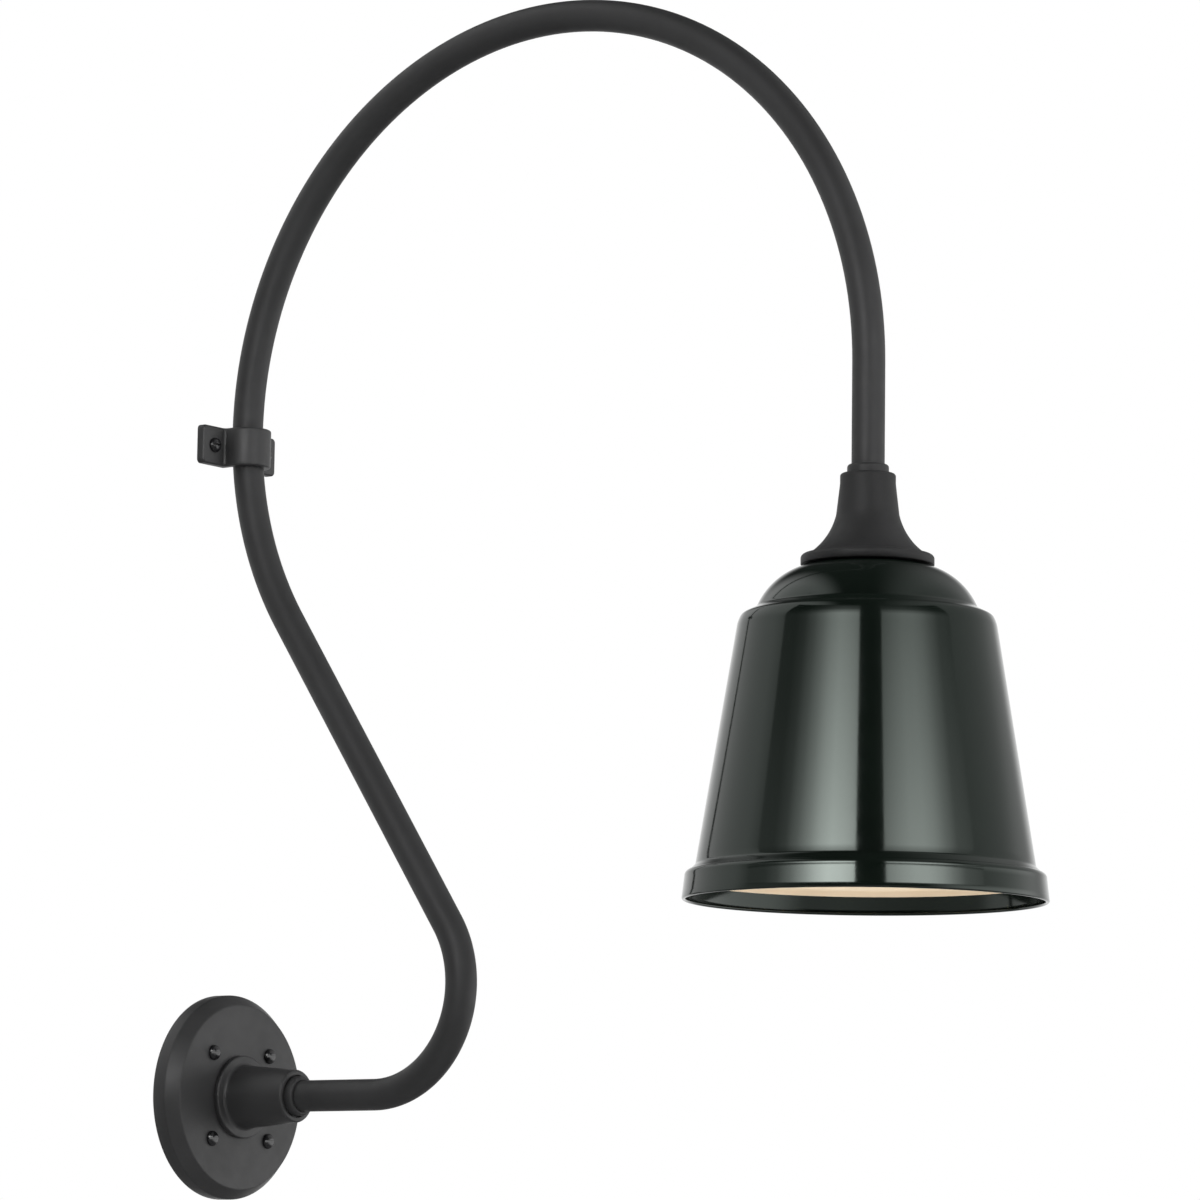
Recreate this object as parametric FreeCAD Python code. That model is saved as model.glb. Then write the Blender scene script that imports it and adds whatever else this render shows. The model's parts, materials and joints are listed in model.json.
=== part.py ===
import FreeCAD, Part
import math
import os

# Gooseneck barn light with a wall plate, a bent arm clamped to the wall, and a spun shade.
# The origin is the centre of the wall plate on the wall, +X out of the wall, +Z up.
# All sizes are in millimetres.

# Wall plate
gasket_t = 1.5
gasket_inset = 2.0
gasket_w = 10.0
plate_d = 140.0
plate_edge_x = 11.5
plate_slope_w = 6.8
plate_depth = 20.0
plate_wall = 3.0
plate_edge_fillet = 0.8
plate_screw_spacing = 58.4
plate_boss_d = 11.0
ground_boss_d = 9.0
ground_boss_depth = 8.0
ground_offset = 42.0

# Slotted dome-head screws of the plate and of the clamp
screw_head_d = 10.4
screw_head_h = 3.6
screw_shank_d = 4.4
screw_thread_d = 4.0
screw_slot_w = 1.4
screw_slot_depth = 1.7
screw_reach = 24.0

# Earth screw
ground_head_d = 7.2
ground_head_h = 2.4
ground_shank_d = 3.6
ground_shank_len = 5.5
ground_slot_w = 1.0
ground_slot_depth = 1.1

# Arm, a bent tube
tube_d = 21.3
tube_wall = 2.1
tube_start_x = 9.5
lower_bend_x = 138.0
lower_bend_r = 73.0
lower_bend_deg = 124.0
back_bend_r = 240.0
crook_r = 261.1
wall_gap = 2.15

# Hub on the plate
hub_flange_w = 6.6
hub_flange_t = 3.8
hub_flange_fillet = 1.2
hub_taper_w = 3.8
hub_nose_wall = 3.6
hub_end_x = 70.5
hub_root_fillet = 2.0
hub_nose_fillet = 1.6
hub_recess_gap = 0.8
hub_recess_depth = 2.2
collar_wall = 2.7
collar_len = 5.6
collar_fillet = 1.8
locknut_af = 30.0
locknut_t = 5.0

# Clamp that holds the arm to the wall
clamp_z = 451.5
clamp_half_w = 38.5
clamp_ear_t = 6.0
clamp_h = 27.0
clamp_band_wall = 5.6
clamp_edge_fillet = 2.4
clamp_corner_fillet = 3.0
clamp_crotch_fillet = 1.6
clamp_screw_y = 27.0
clamp_screw_reach = 6.7

# Neck casting
neck_seat_z = 330.5
neck_flange_d = 85.4
neck_flange_t = 6.8
neck_flange_fillet = 2.6
neck_ledge_w = 4.7
neck_flare_h = 25.8
neck_flare_hollow = 2.96
neck_waist_d = 40.4
neck_waist_h = 20.0
neck_barrel_d = 35.7
neck_barrel_h = 6.6
neck_top_fillet = 1.8
neck_collar_wall = 2.6
neck_collar_h = 5.9
neck_collar_fillet = 2.0
tube_in_neck = 21.6
wire_bore_d = 12.0
seal_inset = 8.4
seal_w = 8.0
seal_t = 1.5

# Spun shade, its outline told from one corner to the next by steps out and down
shade_wall = 1.2
shade_hole_d = 14.4
crown_d = 70.6
dome_out = 35.4
dome_drop = 28.0
dome_bulge = 6.1
ledge_out = 9.5
ledge_drop = 4.6
shoulder_out = 2.95
shoulder_drop = 8.8
shoulder_bulge = 0.5
skirt_out = 24.6
skirt_len = 151.0
step_out = 3.65
step_drop = 3.4
lip_out = 3.2
lip_round_drop = 4.0
lip_bulge = 1.03
rim_out = 1.6
rim_h = 14.9

# Lamp holder, hung from a threaded nipple under the neck
nipple_d = 13.2
nipple_bore_d = 9.6
nipple_in_neck = 18.6
nipple_len = 38.0
washer_d = 44.0
washer_t = 1.6
shade_nut_af = 22.0
shade_nut_t = 5.0
cap_d = 42.0
cap_h = 15.0
cap_wall = 1.2
cap_shoulder_w = 9.0
cap_shoulder_h = 4.5
cap_gap = 0.6
socket_inset = 1.5
socket_lip_w = 2.0
socket_lip_h = 5.0
socket_len = 57.0
socket_spigot_h = 9.0
shell_wall = 0.4
shell_depth = 27.0
socket_contact_d = 9.0
socket_contact_t = 1.0

# Bulb
bulb_d = 60.0
bulb_len = 79.0
bulb_glass_wall = 0.9
bulb_tip_r = 30.0
bulb_base_d = 26.0
bulb_base_len = 19.0
bulb_base_wall = 0.5
bulb_skirt_len = 3.4
bulb_shoulder_w = 3.0
bulb_shoulder_len = 2.6
bulb_insulator_d = 16.0
bulb_insulator_len = 3.2
bulb_contact_d = 9.0
bulb_contact_len = 1.6

# Clearances and cutting lengths
slip = 0.15
running_gap = 0.3
thread_gap = 0.05
overrun = 5.0

# Shares of a size
screw_rim_share = 0.25
nut_chamfer_share = 0.25

# How near an edge lies to the place that names it
match = 0.05

tube_r = tube_d / 2
rise_x = wall_gap + tube_r
drop_x = rise_x + 2 * crook_r
plate_face_d = plate_d - 2 * plate_slope_w
gasket_d = plate_d - 2 * gasket_inset
collar_d = tube_d + 2 * slip + 2 * collar_wall
hub_recess_d = collar_d + 2 * hub_recess_gap
hub_nose_d = hub_recess_d + 2 * hub_nose_wall
hub_root_d = hub_nose_d + 2 * hub_taper_w
hub_flange_d = hub_root_d + 2 * hub_flange_w
neck_collar_d = tube_d + 2 * slip + 2 * neck_collar_wall
neck_waist_z = neck_seat_z + neck_flange_t + neck_flare_h
neck_barrel_z = neck_waist_z + neck_waist_h
neck_top_z = neck_barrel_z + neck_barrel_h
tube_end_z = neck_top_z - tube_in_neck
seal_d = neck_flange_d - 2 * seal_inset
seal_bore_d = seal_d - 2 * seal_w
nipple_top_z = neck_seat_z + nipple_in_neck
cap_top_d = cap_d - 2 * cap_shoulder_w
socket_d = cap_d - 2 * socket_inset
socket_top_d = cap_d - 2 * (cap_wall + cap_gap)
socket_lip_d = socket_d + 2 * socket_lip_w
shell_d = bulb_base_d + 2 * (running_gap + shell_wall)
bulb_shoulder_d = bulb_base_d - 2 * bulb_shoulder_w
nipple_foot_z = nipple_top_z - nipple_len
socket_top_z = nipple_foot_z - slip
socket_mouth_z = socket_top_z - socket_len
shell_top_z = socket_mouth_z + shell_depth
x_axis = FreeCAD.Vector(1, 0, 0)
y_axis = FreeCAD.Vector(0, 1, 0)
z_axis = FreeCAD.Vector(0, 0, 1)


def at(x, y, z):
    return FreeCAD.Vector(x, y, z)


def spin(points, place):
    """Revolve a closed outline of (radius, height) pairs and put it at a place."""
    outline = Part.makePolygon([at(r, 0, h) for r, h in points] + [at(points[0][0], 0, points[0][1])])
    solid = Part.Face(outline).revolve(at(0, 0, 0), z_axis, 360)
    solid.Placement = place
    return solid


def spin_edges(edges, place):
    """Revolve a closed outline of edges, drawn in the XZ plane, and put it at a place."""
    outline = Part.Wire(Part.__sortEdges__(edges))
    solid = Part.Face(outline).revolve(at(0, 0, 0), z_axis, 360)
    solid.Placement = place
    return solid


def line(a, b):
    return Part.LineSegment(at(a[0], 0, a[1]), at(b[0], 0, b[1])).toShape()


def arc(a, mid, b):
    return Part.Arc(at(a[0], 0, a[1]), at(mid[0], 0, mid[1]), at(b[0], 0, b[1])).toShape()


def bulged(a, b, bulge):
    """An arc between two points that stands off their chord by a bulge, up and outwards."""
    across, fall = b[0] - a[0], a[1] - b[1]
    chord = math.hypot(across, fall)
    middle = ((a[0] + b[0]) / 2 + bulge * fall / chord, (a[1] + b[1]) / 2 + bulge * across / chord)
    return arc(a, middle, b)


def out_of_wall(x=0.0, y=0.0, z=0.0):
    """A placement whose own axis points out of the wall."""
    return FreeCAD.Placement(at(x, y, z), FreeCAD.Rotation(z_axis, x_axis))


def on_drop(z=0.0):
    """A placement on the plumb axis through the shade."""
    return FreeCAD.Placement(at(drop_x, 0, z), FreeCAD.Rotation())


def rod(d, length, place):
    solid = Part.makeCylinder(d / 2, length)
    solid.Placement = place
    return solid


def ring(d, bore, length, place):
    return rod(d, length, place).cut(rod(bore, length, place))


def circles_at(shape, d, height, axis):
    """The round edges of one diameter at one height along an axis."""
    found = []
    for edge in shape.Edges:
        if not isinstance(edge.Curve, Part.Circle):
            continue
        same_size = abs(edge.Curve.Radius - d / 2) < match
        if same_size and abs(edge.Curve.Center.dot(axis) - height) < match:
            found.append(edge)
    return found


def hexagon_nut(af, t, bore, place):
    corners = [at(af / math.sqrt(3) * math.cos(math.radians(60 * i)),
                  af / math.sqrt(3) * math.sin(math.radians(60 * i)), 0) for i in range(7)]
    nut = Part.Face(Part.makePolygon(corners)).extrude(at(0, 0, t))
    chamfer_h = t * nut_chamfer_share
    chamfer = spin([(0, 0), (af / 2, 0), (af / math.sqrt(3), chamfer_h), (af / math.sqrt(3), t - chamfer_h),
                    (af / 2, t), (0, t)], FreeCAD.Placement())
    nut = nut.common(chamfer).cut(Part.makeCylinder(bore / 2, t))
    nut.Placement = place
    return nut


def dome_screw(head_d, head_h, slot_w, slot_depth):
    """A slotted dome head above its own origin, with its slot along Y."""
    rim_h = head_h * screw_rim_share
    r = head_d / 2
    slope = math.sin(math.radians(45))
    edges = [line((0, 0), (r, 0)), line((r, 0), (r, rim_h)),
             arc((r, rim_h), (r * slope, rim_h + (head_h - rim_h) * slope), (0, head_h)), line((0, head_h), (0, 0))]
    head = spin_edges(edges, FreeCAD.Placement())
    slot = Part.makeBox(slot_w, head_d + slot_w, head_h, at(-slot_w / 2, -(head_d + slot_w) / 2, head_h - slot_depth))
    return head.cut(slot)


def wall_screw(grip, reach):
    """A screw whose plain shank fills a grip and whose thinner thread reaches behind the wall."""
    head = dome_screw(screw_head_d, screw_head_h, screw_slot_w, screw_slot_depth)
    shank = Part.makeCylinder(screw_shank_d / 2, grip, at(0, 0, -grip))
    length = grip + reach
    thread = Part.makeCylinder(screw_thread_d / 2, length, at(0, 0, -length))
    return head.fuse([shank, thread]).removeSplitter()


def placed(shape, place):
    copy = shape.copy()
    copy.Placement = place
    return copy


def plate_screw_places(x):
    half = plate_screw_spacing / 2
    return [out_of_wall(x, y, z) for y in (-half, half) for z in (-half, half)]


def plate_gasket():
    return ring(gasket_d, gasket_d - 2 * gasket_w, gasket_t, out_of_wall())


def wall_plate():
    """A shallow cast dish: plain edge, sloped shoulder and flat face, open at the back."""
    bore = tube_d + 2 * slip
    inner_r = plate_d / 2 - plate_wall
    outline = [(plate_d / 2, gasket_t), (plate_d / 2, plate_edge_x), (plate_face_d / 2, plate_depth),
               (bore / 2, plate_depth), (bore / 2, plate_depth - plate_wall),
               (plate_face_d / 2 - plate_wall / 2, plate_depth - plate_wall),
               (inner_r, plate_edge_x - plate_wall / 2), (inner_r, gasket_t)]
    plate = spin(outline, out_of_wall())
    edges = circles_at(plate, plate_d, plate_edge_x, x_axis) + circles_at(plate, plate_face_d, plate_depth, x_axis)
    plate = plate.makeFillet(plate_edge_fillet, edges)
    boss_len = plate_depth - plate_wall / 2 - gasket_t
    for place in plate_screw_places(gasket_t):
        plate = plate.fuse(rod(plate_boss_d, boss_len, place))
    ground_x = plate_depth - plate_wall - ground_boss_depth
    plate = plate.fuse(rod(ground_boss_d, ground_boss_depth + plate_wall / 2, out_of_wall(ground_x, 0, -ground_offset)))
    for place in plate_screw_places(-overrun):
        plate = plate.cut(rod(screw_shank_d + 2 * slip, plate_depth + 2 * overrun, place))
    hole = rod(ground_shank_d + 2 * thread_gap, ground_shank_len + slip, out_of_wall(ground_x, 0, -ground_offset))
    return plate.cut(hole)


def plate_screws():
    screw = wall_screw(plate_depth, screw_reach)
    return [placed(screw, place) for place in plate_screw_places(plate_depth)]


def ground_screw():
    head = dome_screw(ground_head_d, ground_head_h, ground_slot_w, ground_slot_depth)
    shank = Part.makeCylinder(ground_shank_d / 2, ground_shank_len, at(0, 0, -ground_shank_len))
    screw = head.fuse(shank)
    x = plate_depth - plate_wall - ground_boss_depth
    into_plate = FreeCAD.Placement(at(x, 0, -ground_offset), FreeCAD.Rotation(z_axis, -x_axis))
    return placed(screw, into_plate)


def arm_hub():
    """A tapered boss on a round flange, bored for the arm, with a seat for its collar."""
    bore = tube_d / 2 + slip
    flange_x = plate_depth + hub_flange_t
    outline = [(bore, plate_depth), (hub_flange_d / 2, plate_depth), (hub_flange_d / 2, flange_x),
               (hub_root_d / 2, flange_x), (hub_nose_d / 2, hub_end_x), (hub_recess_d / 2, hub_end_x),
               (hub_recess_d / 2, hub_end_x - hub_recess_depth), (bore, hub_end_x - hub_recess_depth)]
    hub = spin(outline, out_of_wall())
    hub = hub.makeFillet(hub_root_fillet, circles_at(hub, hub_root_d, flange_x, x_axis))
    hub = hub.makeFillet(hub_flange_fillet, circles_at(hub, hub_flange_d, flange_x, x_axis))
    return hub.makeFillet(hub_nose_fillet, circles_at(hub, hub_nose_d, hub_end_x, x_axis))


def hub_collar():
    length = hub_recess_depth + collar_len
    collar = ring(collar_d, tube_d + 2 * slip, length, out_of_wall(hub_end_x - hub_recess_depth))
    return collar.makeFillet(collar_fillet, circles_at(collar, collar_d, hub_end_x + collar_len, x_axis))


def hub_locknut():
    x = plate_depth - plate_wall - locknut_t
    return hexagon_nut(locknut_af, locknut_t, tube_d + 2 * thread_gap, out_of_wall(x))


def arm_path():
    """The arm's centre line: out of the wall, back up to it, over in a crook and straight down."""
    turn = math.radians(lower_bend_deg)
    lean = turn - math.pi / 2
    heading = (math.cos(turn), math.sin(turn))
    a = (tube_start_x, 0)
    b = (lower_bend_x, 0)
    half = turn / 2
    bend_mid = (lower_bend_x + lower_bend_r * math.sin(half), lower_bend_r * (1 - math.cos(half)))
    c = (lower_bend_x + lower_bend_r * math.sin(turn), lower_bend_r * (1 - math.cos(turn)))
    d_x = rise_x + back_bend_r * (1 - math.cos(lean))
    run = (d_x - c[0]) / heading[0]
    d = (d_x, c[1] + run * heading[1])
    rise_z = d[1] + back_bend_r * math.sin(lean)
    back_mid = (rise_x + back_bend_r * (1 - math.cos(lean / 2)), rise_z - back_bend_r * math.sin(lean / 2))
    e = (rise_x, rise_z)
    top = (rise_x + crook_r, rise_z + crook_r)
    f = (drop_x, rise_z)
    g = (drop_x, tube_end_z)
    edges = [line(a, b), arc(b, bend_mid, c), line(c, d), arc(d, back_mid, e), arc(e, top, f), line(f, g)]
    return Part.Wire(edges)


def arm_rod(d):
    """A solid of round section along the arm's centre line."""
    section = Part.Wire(Part.makeCircle(d / 2, at(tube_start_x, 0, 0), x_axis))
    return arm_path().makePipeShell([section], True, False)


def gooseneck_arm():
    return arm_rod(tube_d).cut(arm_rod(tube_d - 2 * tube_wall))


def clamp_strap():
    """A saddle strap: two flat ears on the wall and a band round the front of the arm."""
    band_r = tube_r + slip + clamp_band_wall
    foot_z = clamp_z - clamp_h / 2
    ears = Part.makeBox(clamp_ear_t, 2 * clamp_half_w, clamp_h, at(0, -clamp_half_w, foot_z))
    cheeks = Part.makeBox(rise_x, 2 * band_r, clamp_h, at(0, -band_r, foot_z))
    nose = Part.makeCylinder(band_r, clamp_h, at(rise_x, 0, foot_z))
    nose = nose.cut(Part.makeBox(band_r, 2 * band_r, clamp_h, at(-band_r, -band_r, foot_z)))
    body = ears.fuse([cheeks, nose]).removeSplitter()
    corners = [e for e in body.Edges if abs(e.CenterOfMass.x - clamp_ear_t / 2) < match
               and abs(abs(e.CenterOfMass.y) - clamp_half_w) < match
               and abs(abs(e.CenterOfMass.z - clamp_z) - clamp_h / 2) < match]
    body = body.makeFillet(clamp_corner_fillet, corners)
    crotch = [e for e in body.Edges if len(e.Vertexes) == 2 and abs(e.tangentAt(e.FirstParameter).z) > 0.9
              and abs(abs(e.CenterOfMass.y) - band_r) < match
              and abs(e.CenterOfMass.x - clamp_ear_t) < match]
    body = body.makeFillet(clamp_crotch_fillet, crotch)
    outer = [e for e in body.Edges if abs(e.CenterOfMass.z - clamp_z) > clamp_h / 2 - match
             and e.CenterOfMass.x > match]
    tips = [e for e in body.Edges if abs(e.CenterOfMass.z - clamp_z) < match
            and abs(abs(e.CenterOfMass.y) - clamp_half_w) < match
            and e.CenterOfMass.x > clamp_ear_t - match]
    body = body.makeFillet(clamp_edge_fillet, outer + tips)
    saddle_w = tube_d + 2 * slip
    slot = Part.makeBox(rise_x + overrun, saddle_w, clamp_h + 2 * overrun, at(-overrun, -saddle_w / 2, foot_z - overrun))
    body = body.cut(slot).cut(arm_rod(saddle_w))
    for y in (-clamp_screw_y, clamp_screw_y):
        body = body.cut(rod(screw_shank_d + 2 * slip, clamp_ear_t + 2 * overrun, out_of_wall(-overrun, y, clamp_z)))
    return body


def clamp_screws():
    screw = wall_screw(clamp_ear_t, clamp_screw_reach)
    return [placed(screw, out_of_wall(clamp_ear_t, y, clamp_z)) for y in (-clamp_screw_y, clamp_screw_y)]


def neck_collar():
    collar = ring(neck_collar_d, tube_d + 2 * slip, neck_collar_h, on_drop(neck_top_z))
    top = neck_top_z + neck_collar_h
    return collar.makeFillet(neck_collar_fillet, circles_at(collar, neck_collar_d, top, z_axis))


def shade_neck():
    """The trumpet casting that joins the arm to the shade, turned as one outline."""
    seat = neck_seat_z
    flange_top = seat + neck_flange_t
    arm_r = tube_r + slip
    bore_foot = tube_end_z - slip
    ledge_r = neck_flange_d / 2 - neck_ledge_w
    waist_r = neck_waist_d / 2
    edges = [
        line((arm_r, neck_top_z), (neck_barrel_d / 2, neck_top_z)),
        line((neck_barrel_d / 2, neck_top_z), (neck_barrel_d / 2, neck_barrel_z)),
        line((neck_barrel_d / 2, neck_barrel_z), (waist_r, neck_waist_z)),
        bulged((waist_r, neck_waist_z), (ledge_r, flange_top), -neck_flare_hollow),
        line((ledge_r, flange_top), (neck_flange_d / 2, flange_top)),
        line((neck_flange_d / 2, flange_top), (neck_flange_d / 2, seat)),
        line((neck_flange_d / 2, seat), (seal_d / 2, seat)),
        line((seal_d / 2, seat), (seal_d / 2, seat + seal_t)),
        line((seal_d / 2, seat + seal_t), (seal_bore_d / 2, seat + seal_t)),
        line((seal_bore_d / 2, seat + seal_t), (seal_bore_d / 2, seat)),
        line((seal_bore_d / 2, seat), (nipple_d / 2 + thread_gap, seat)),
        line((nipple_d / 2 + thread_gap, seat), (nipple_d / 2 + thread_gap, nipple_top_z)),
        line((nipple_d / 2 + thread_gap, nipple_top_z), (wire_bore_d / 2, nipple_top_z)),
        line((wire_bore_d / 2, nipple_top_z), (wire_bore_d / 2, bore_foot)),
        line((wire_bore_d / 2, bore_foot), (arm_r, bore_foot)),
        line((arm_r, bore_foot), (arm_r, neck_top_z)),
    ]
    neck = spin_edges(edges, on_drop())
    neck = neck.makeFillet(neck_top_fillet, circles_at(neck, neck_barrel_d, neck_top_z, z_axis))
    return neck.makeFillet(neck_flange_fillet, circles_at(neck, neck_flange_d, flange_top, z_axis))


def shade_seal():
    return ring(seal_d, seal_bore_d, seal_t, on_drop(neck_seat_z))


def shade():
    """The spun shade: flat crown, domed cap, rounded shoulder, long taper and a stepped rim."""
    hole = (shade_hole_d / 2, neck_seat_z)
    crown = (crown_d / 2, neck_seat_z)
    dome_foot = (crown[0] + dome_out, crown[1] - dome_drop)
    ledge = (dome_foot[0] + ledge_out, dome_foot[1] - ledge_drop)
    shoulder = (ledge[0] + shoulder_out, ledge[1] - shoulder_drop)
    skirt = (shoulder[0] + skirt_out, shoulder[1] - skirt_len)
    step = (skirt[0] + step_out, skirt[1] - step_drop)
    lip = (step[0] + lip_out, step[1] - lip_round_drop)
    rim = (lip[0] + rim_out, lip[1] - rim_h)
    skin = [
        line(hole, crown), bulged(crown, dome_foot, dome_bulge), line(dome_foot, ledge),
        bulged(ledge, shoulder, shoulder_bulge), line(shoulder, skirt), line(skirt, step),
        bulged(step, lip, lip_bulge), line(lip, rim),
    ]
    section = Part.Wire(skin).makeOffset2D(-shade_wall, 2, True, True)
    solid = section.revolve(at(0, 0, 0), z_axis, 360)
    if solid.Volume < 0:
        solid.reverse()
    solid.Placement = on_drop()
    return solid


def shade_washer():
    z = neck_seat_z - shade_wall - washer_t
    return ring(washer_d, nipple_d + 2 * slip, washer_t, on_drop(z))


def shade_locknut():
    z = neck_seat_z - shade_wall - washer_t - shade_nut_t
    return hexagon_nut(shade_nut_af, shade_nut_t, nipple_d + 2 * thread_gap, on_drop(z))


def socket_nipple():
    return ring(nipple_d, nipple_bore_d, nipple_len, on_drop(nipple_foot_z))


def socket_cap():
    """The pressed cap that screws onto the nipple and carries the porcelain."""
    hole = nipple_d / 2 + thread_gap
    top = socket_top_z + cap_wall
    foot = top - cap_h
    outline = [(hole, top), (cap_top_d / 2, top), (cap_d / 2, top - cap_shoulder_h), (cap_d / 2, foot),
               (cap_d / 2 - cap_wall, foot), (cap_d / 2 - cap_wall, top - cap_shoulder_h - cap_wall / 2),
               (cap_top_d / 2 - cap_wall / 2, top - cap_wall), (hole, top - cap_wall)]
    return spin(outline, on_drop())


def lamp_socket():
    """The porcelain body: a spigot inside the cap, a lip round the mouth and a plain bore."""
    spigot_r = socket_top_d / 2
    spigot_top = socket_top_z - cap_shoulder_h - cap_wall
    bore_r = shell_d / 2 + slip
    neck_r = cap_top_d / 2 - 2 * cap_wall
    foot = socket_mouth_z
    wire_r = socket_contact_d / 4
    outline = [(wire_r, socket_top_z), (neck_r, socket_top_z), (spigot_r, spigot_top),
               (spigot_r, spigot_top - socket_spigot_h), (socket_d / 2, spigot_top - socket_spigot_h),
               (socket_d / 2, foot + socket_lip_h + (socket_lip_d - socket_d) / 2), (socket_lip_d / 2, foot + socket_lip_h),
               (socket_lip_d / 2, foot), (bore_r, foot), (bore_r, shell_top_z), (wire_r, shell_top_z)]
    return spin(outline, on_drop())


def screw_shell():
    return ring(shell_d, shell_d - 2 * shell_wall, shell_depth - socket_lip_h / 2, on_drop(socket_mouth_z + socket_lip_h / 2))


def socket_contact():
    z = shell_top_z - socket_contact_t
    return rod(socket_contact_d, socket_contact_t, on_drop(z))


def bulb_seat_z():
    """The height of the end contact of the bulb, just under the contact in the holder."""
    return shell_top_z - socket_contact_t - running_gap


def bulb_base_top_z():
    return bulb_seat_z() - bulb_contact_len - bulb_insulator_len


def bulb_contact():
    outline = [(0, bulb_base_top_z() + bulb_insulator_len), (bulb_contact_d / 2, bulb_base_top_z() + bulb_insulator_len),
               (bulb_contact_d / 4, bulb_seat_z()), (0, bulb_seat_z())]
    return spin(outline, on_drop())


def bulb_insulator():
    top = bulb_base_top_z() + bulb_insulator_len
    outline = [(0, bulb_base_top_z()), (bulb_insulator_d / 2, bulb_base_top_z()), (bulb_contact_d / 2, top), (0, top)]
    return spin(outline, on_drop())


def bulb_base():
    """The bulb's metal cap, open below where the glass goes in."""
    top = bulb_base_top_z()
    shoulder = top - bulb_shoulder_len
    foot = shoulder - bulb_base_len
    skirt = foot - bulb_skirt_len
    r = bulb_base_d / 2
    outline = [(0, top), (bulb_shoulder_d / 2, top), (r, shoulder), (r, foot), (r, skirt), (r - bulb_base_wall, skirt),
               (r - bulb_base_wall, shoulder - bulb_base_wall / 2), (bulb_shoulder_d / 2 - bulb_base_wall / 2, top - bulb_base_wall),
               (0, top - bulb_base_wall)]
    return spin(outline, on_drop())


def bulb_glass():
    """The glass: a tube that starts in the cap, swells into a round bowl and closes below."""
    mouth = bulb_base_top_z() - bulb_shoulder_len - bulb_base_len / 2
    skirt = bulb_base_top_z() - bulb_shoulder_len - bulb_base_len - bulb_skirt_len
    neck_r = bulb_base_d / 2 - bulb_base_wall - slip
    w = bulb_glass_wall
    bowl_z = skirt - bulb_len + bulb_tip_r
    r = bulb_d / 2
    tilt = math.radians(40)
    joint = (r * math.cos(tilt), bowl_z + r * math.sin(tilt))
    joint_in = ((r - w) * math.cos(tilt), bowl_z + (r - w) * math.sin(tilt))
    bottom_mid = (r * math.cos(math.radians(45)), bowl_z - bulb_tip_r * math.sin(math.radians(45)))
    bottom_mid_in = ((r - w) * math.cos(math.radians(45)), bowl_z - (bulb_tip_r - w) * math.sin(math.radians(45)))
    swell = ((neck_r + joint[0]) / 2 - w, (skirt + joint[1]) / 2)
    swell_in = (swell[0] - w, swell[1])
    edges = [
        line((neck_r, mouth), (neck_r, skirt)),
        arc((neck_r, skirt), swell, joint),
        arc(joint, (r, bowl_z), bottom_mid),
        arc(bottom_mid, (r * math.sin(math.radians(22.5)), bowl_z - bulb_tip_r * math.cos(math.radians(22.5))),
            (0, bowl_z - bulb_tip_r)),
        line((0, bowl_z - bulb_tip_r), (0, bowl_z - bulb_tip_r + w)),
        arc((0, bowl_z - bulb_tip_r + w),
            ((r - w) * math.sin(math.radians(22.5)), bowl_z - (bulb_tip_r - w) * math.cos(math.radians(22.5))),
            bottom_mid_in),
        arc(bottom_mid_in, (r - w, bowl_z), joint_in),
        arc(joint_in, swell_in, (neck_r - w, skirt)),
        line((neck_r - w, skirt), (neck_r - w, mouth)),
        line((neck_r - w, mouth), (neck_r, mouth)),
    ]
    return spin_edges(edges, on_drop())


pieces = [plate_gasket, wall_plate, plate_screws, ground_screw, arm_hub, hub_collar, hub_locknut, gooseneck_arm,
          clamp_strap, clamp_screws, neck_collar, shade_neck, shade_seal, shade, shade_washer, shade_locknut,
          socket_nipple, socket_cap, lamp_socket, screw_shell, socket_contact, bulb_contact, bulb_insulator,
          bulb_base, bulb_glass]

os.makedirs("parts", exist_ok=True)
for piece in pieces:
    made = piece()
    shape = Part.makeCompound(made) if isinstance(made, list) else made
    shape.exportStep("parts/" + piece.__name__ + ".step")
    print(piece.__name__, "solids", len(shape.Solids), "volume", round(shape.Volume, 1), "valid", shape.isValid())

path = arm_path()
section_area = math.pi * (tube_r ** 2 - (tube_r - tube_wall) ** 2)
print("arm length", round(path.Length, 1), "section times length", round(section_area * path.Length, 1))
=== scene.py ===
"""Gooseneck barn light: detailed meshes, finishes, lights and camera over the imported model.

Sizes of the fixture are in millimetres and become metres when a piece is finished. The studio is in metres.
The origin is the centre of the wall plate on the wall, +X out of the wall, +Z up.
"""

from __future__ import annotations

import json
import logging
import math
from dataclasses import dataclass, field
from enum import Enum
from typing import Callable, Iterable, Sequence

import bmesh
import bpy
from mathutils import Matrix, Vector

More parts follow.
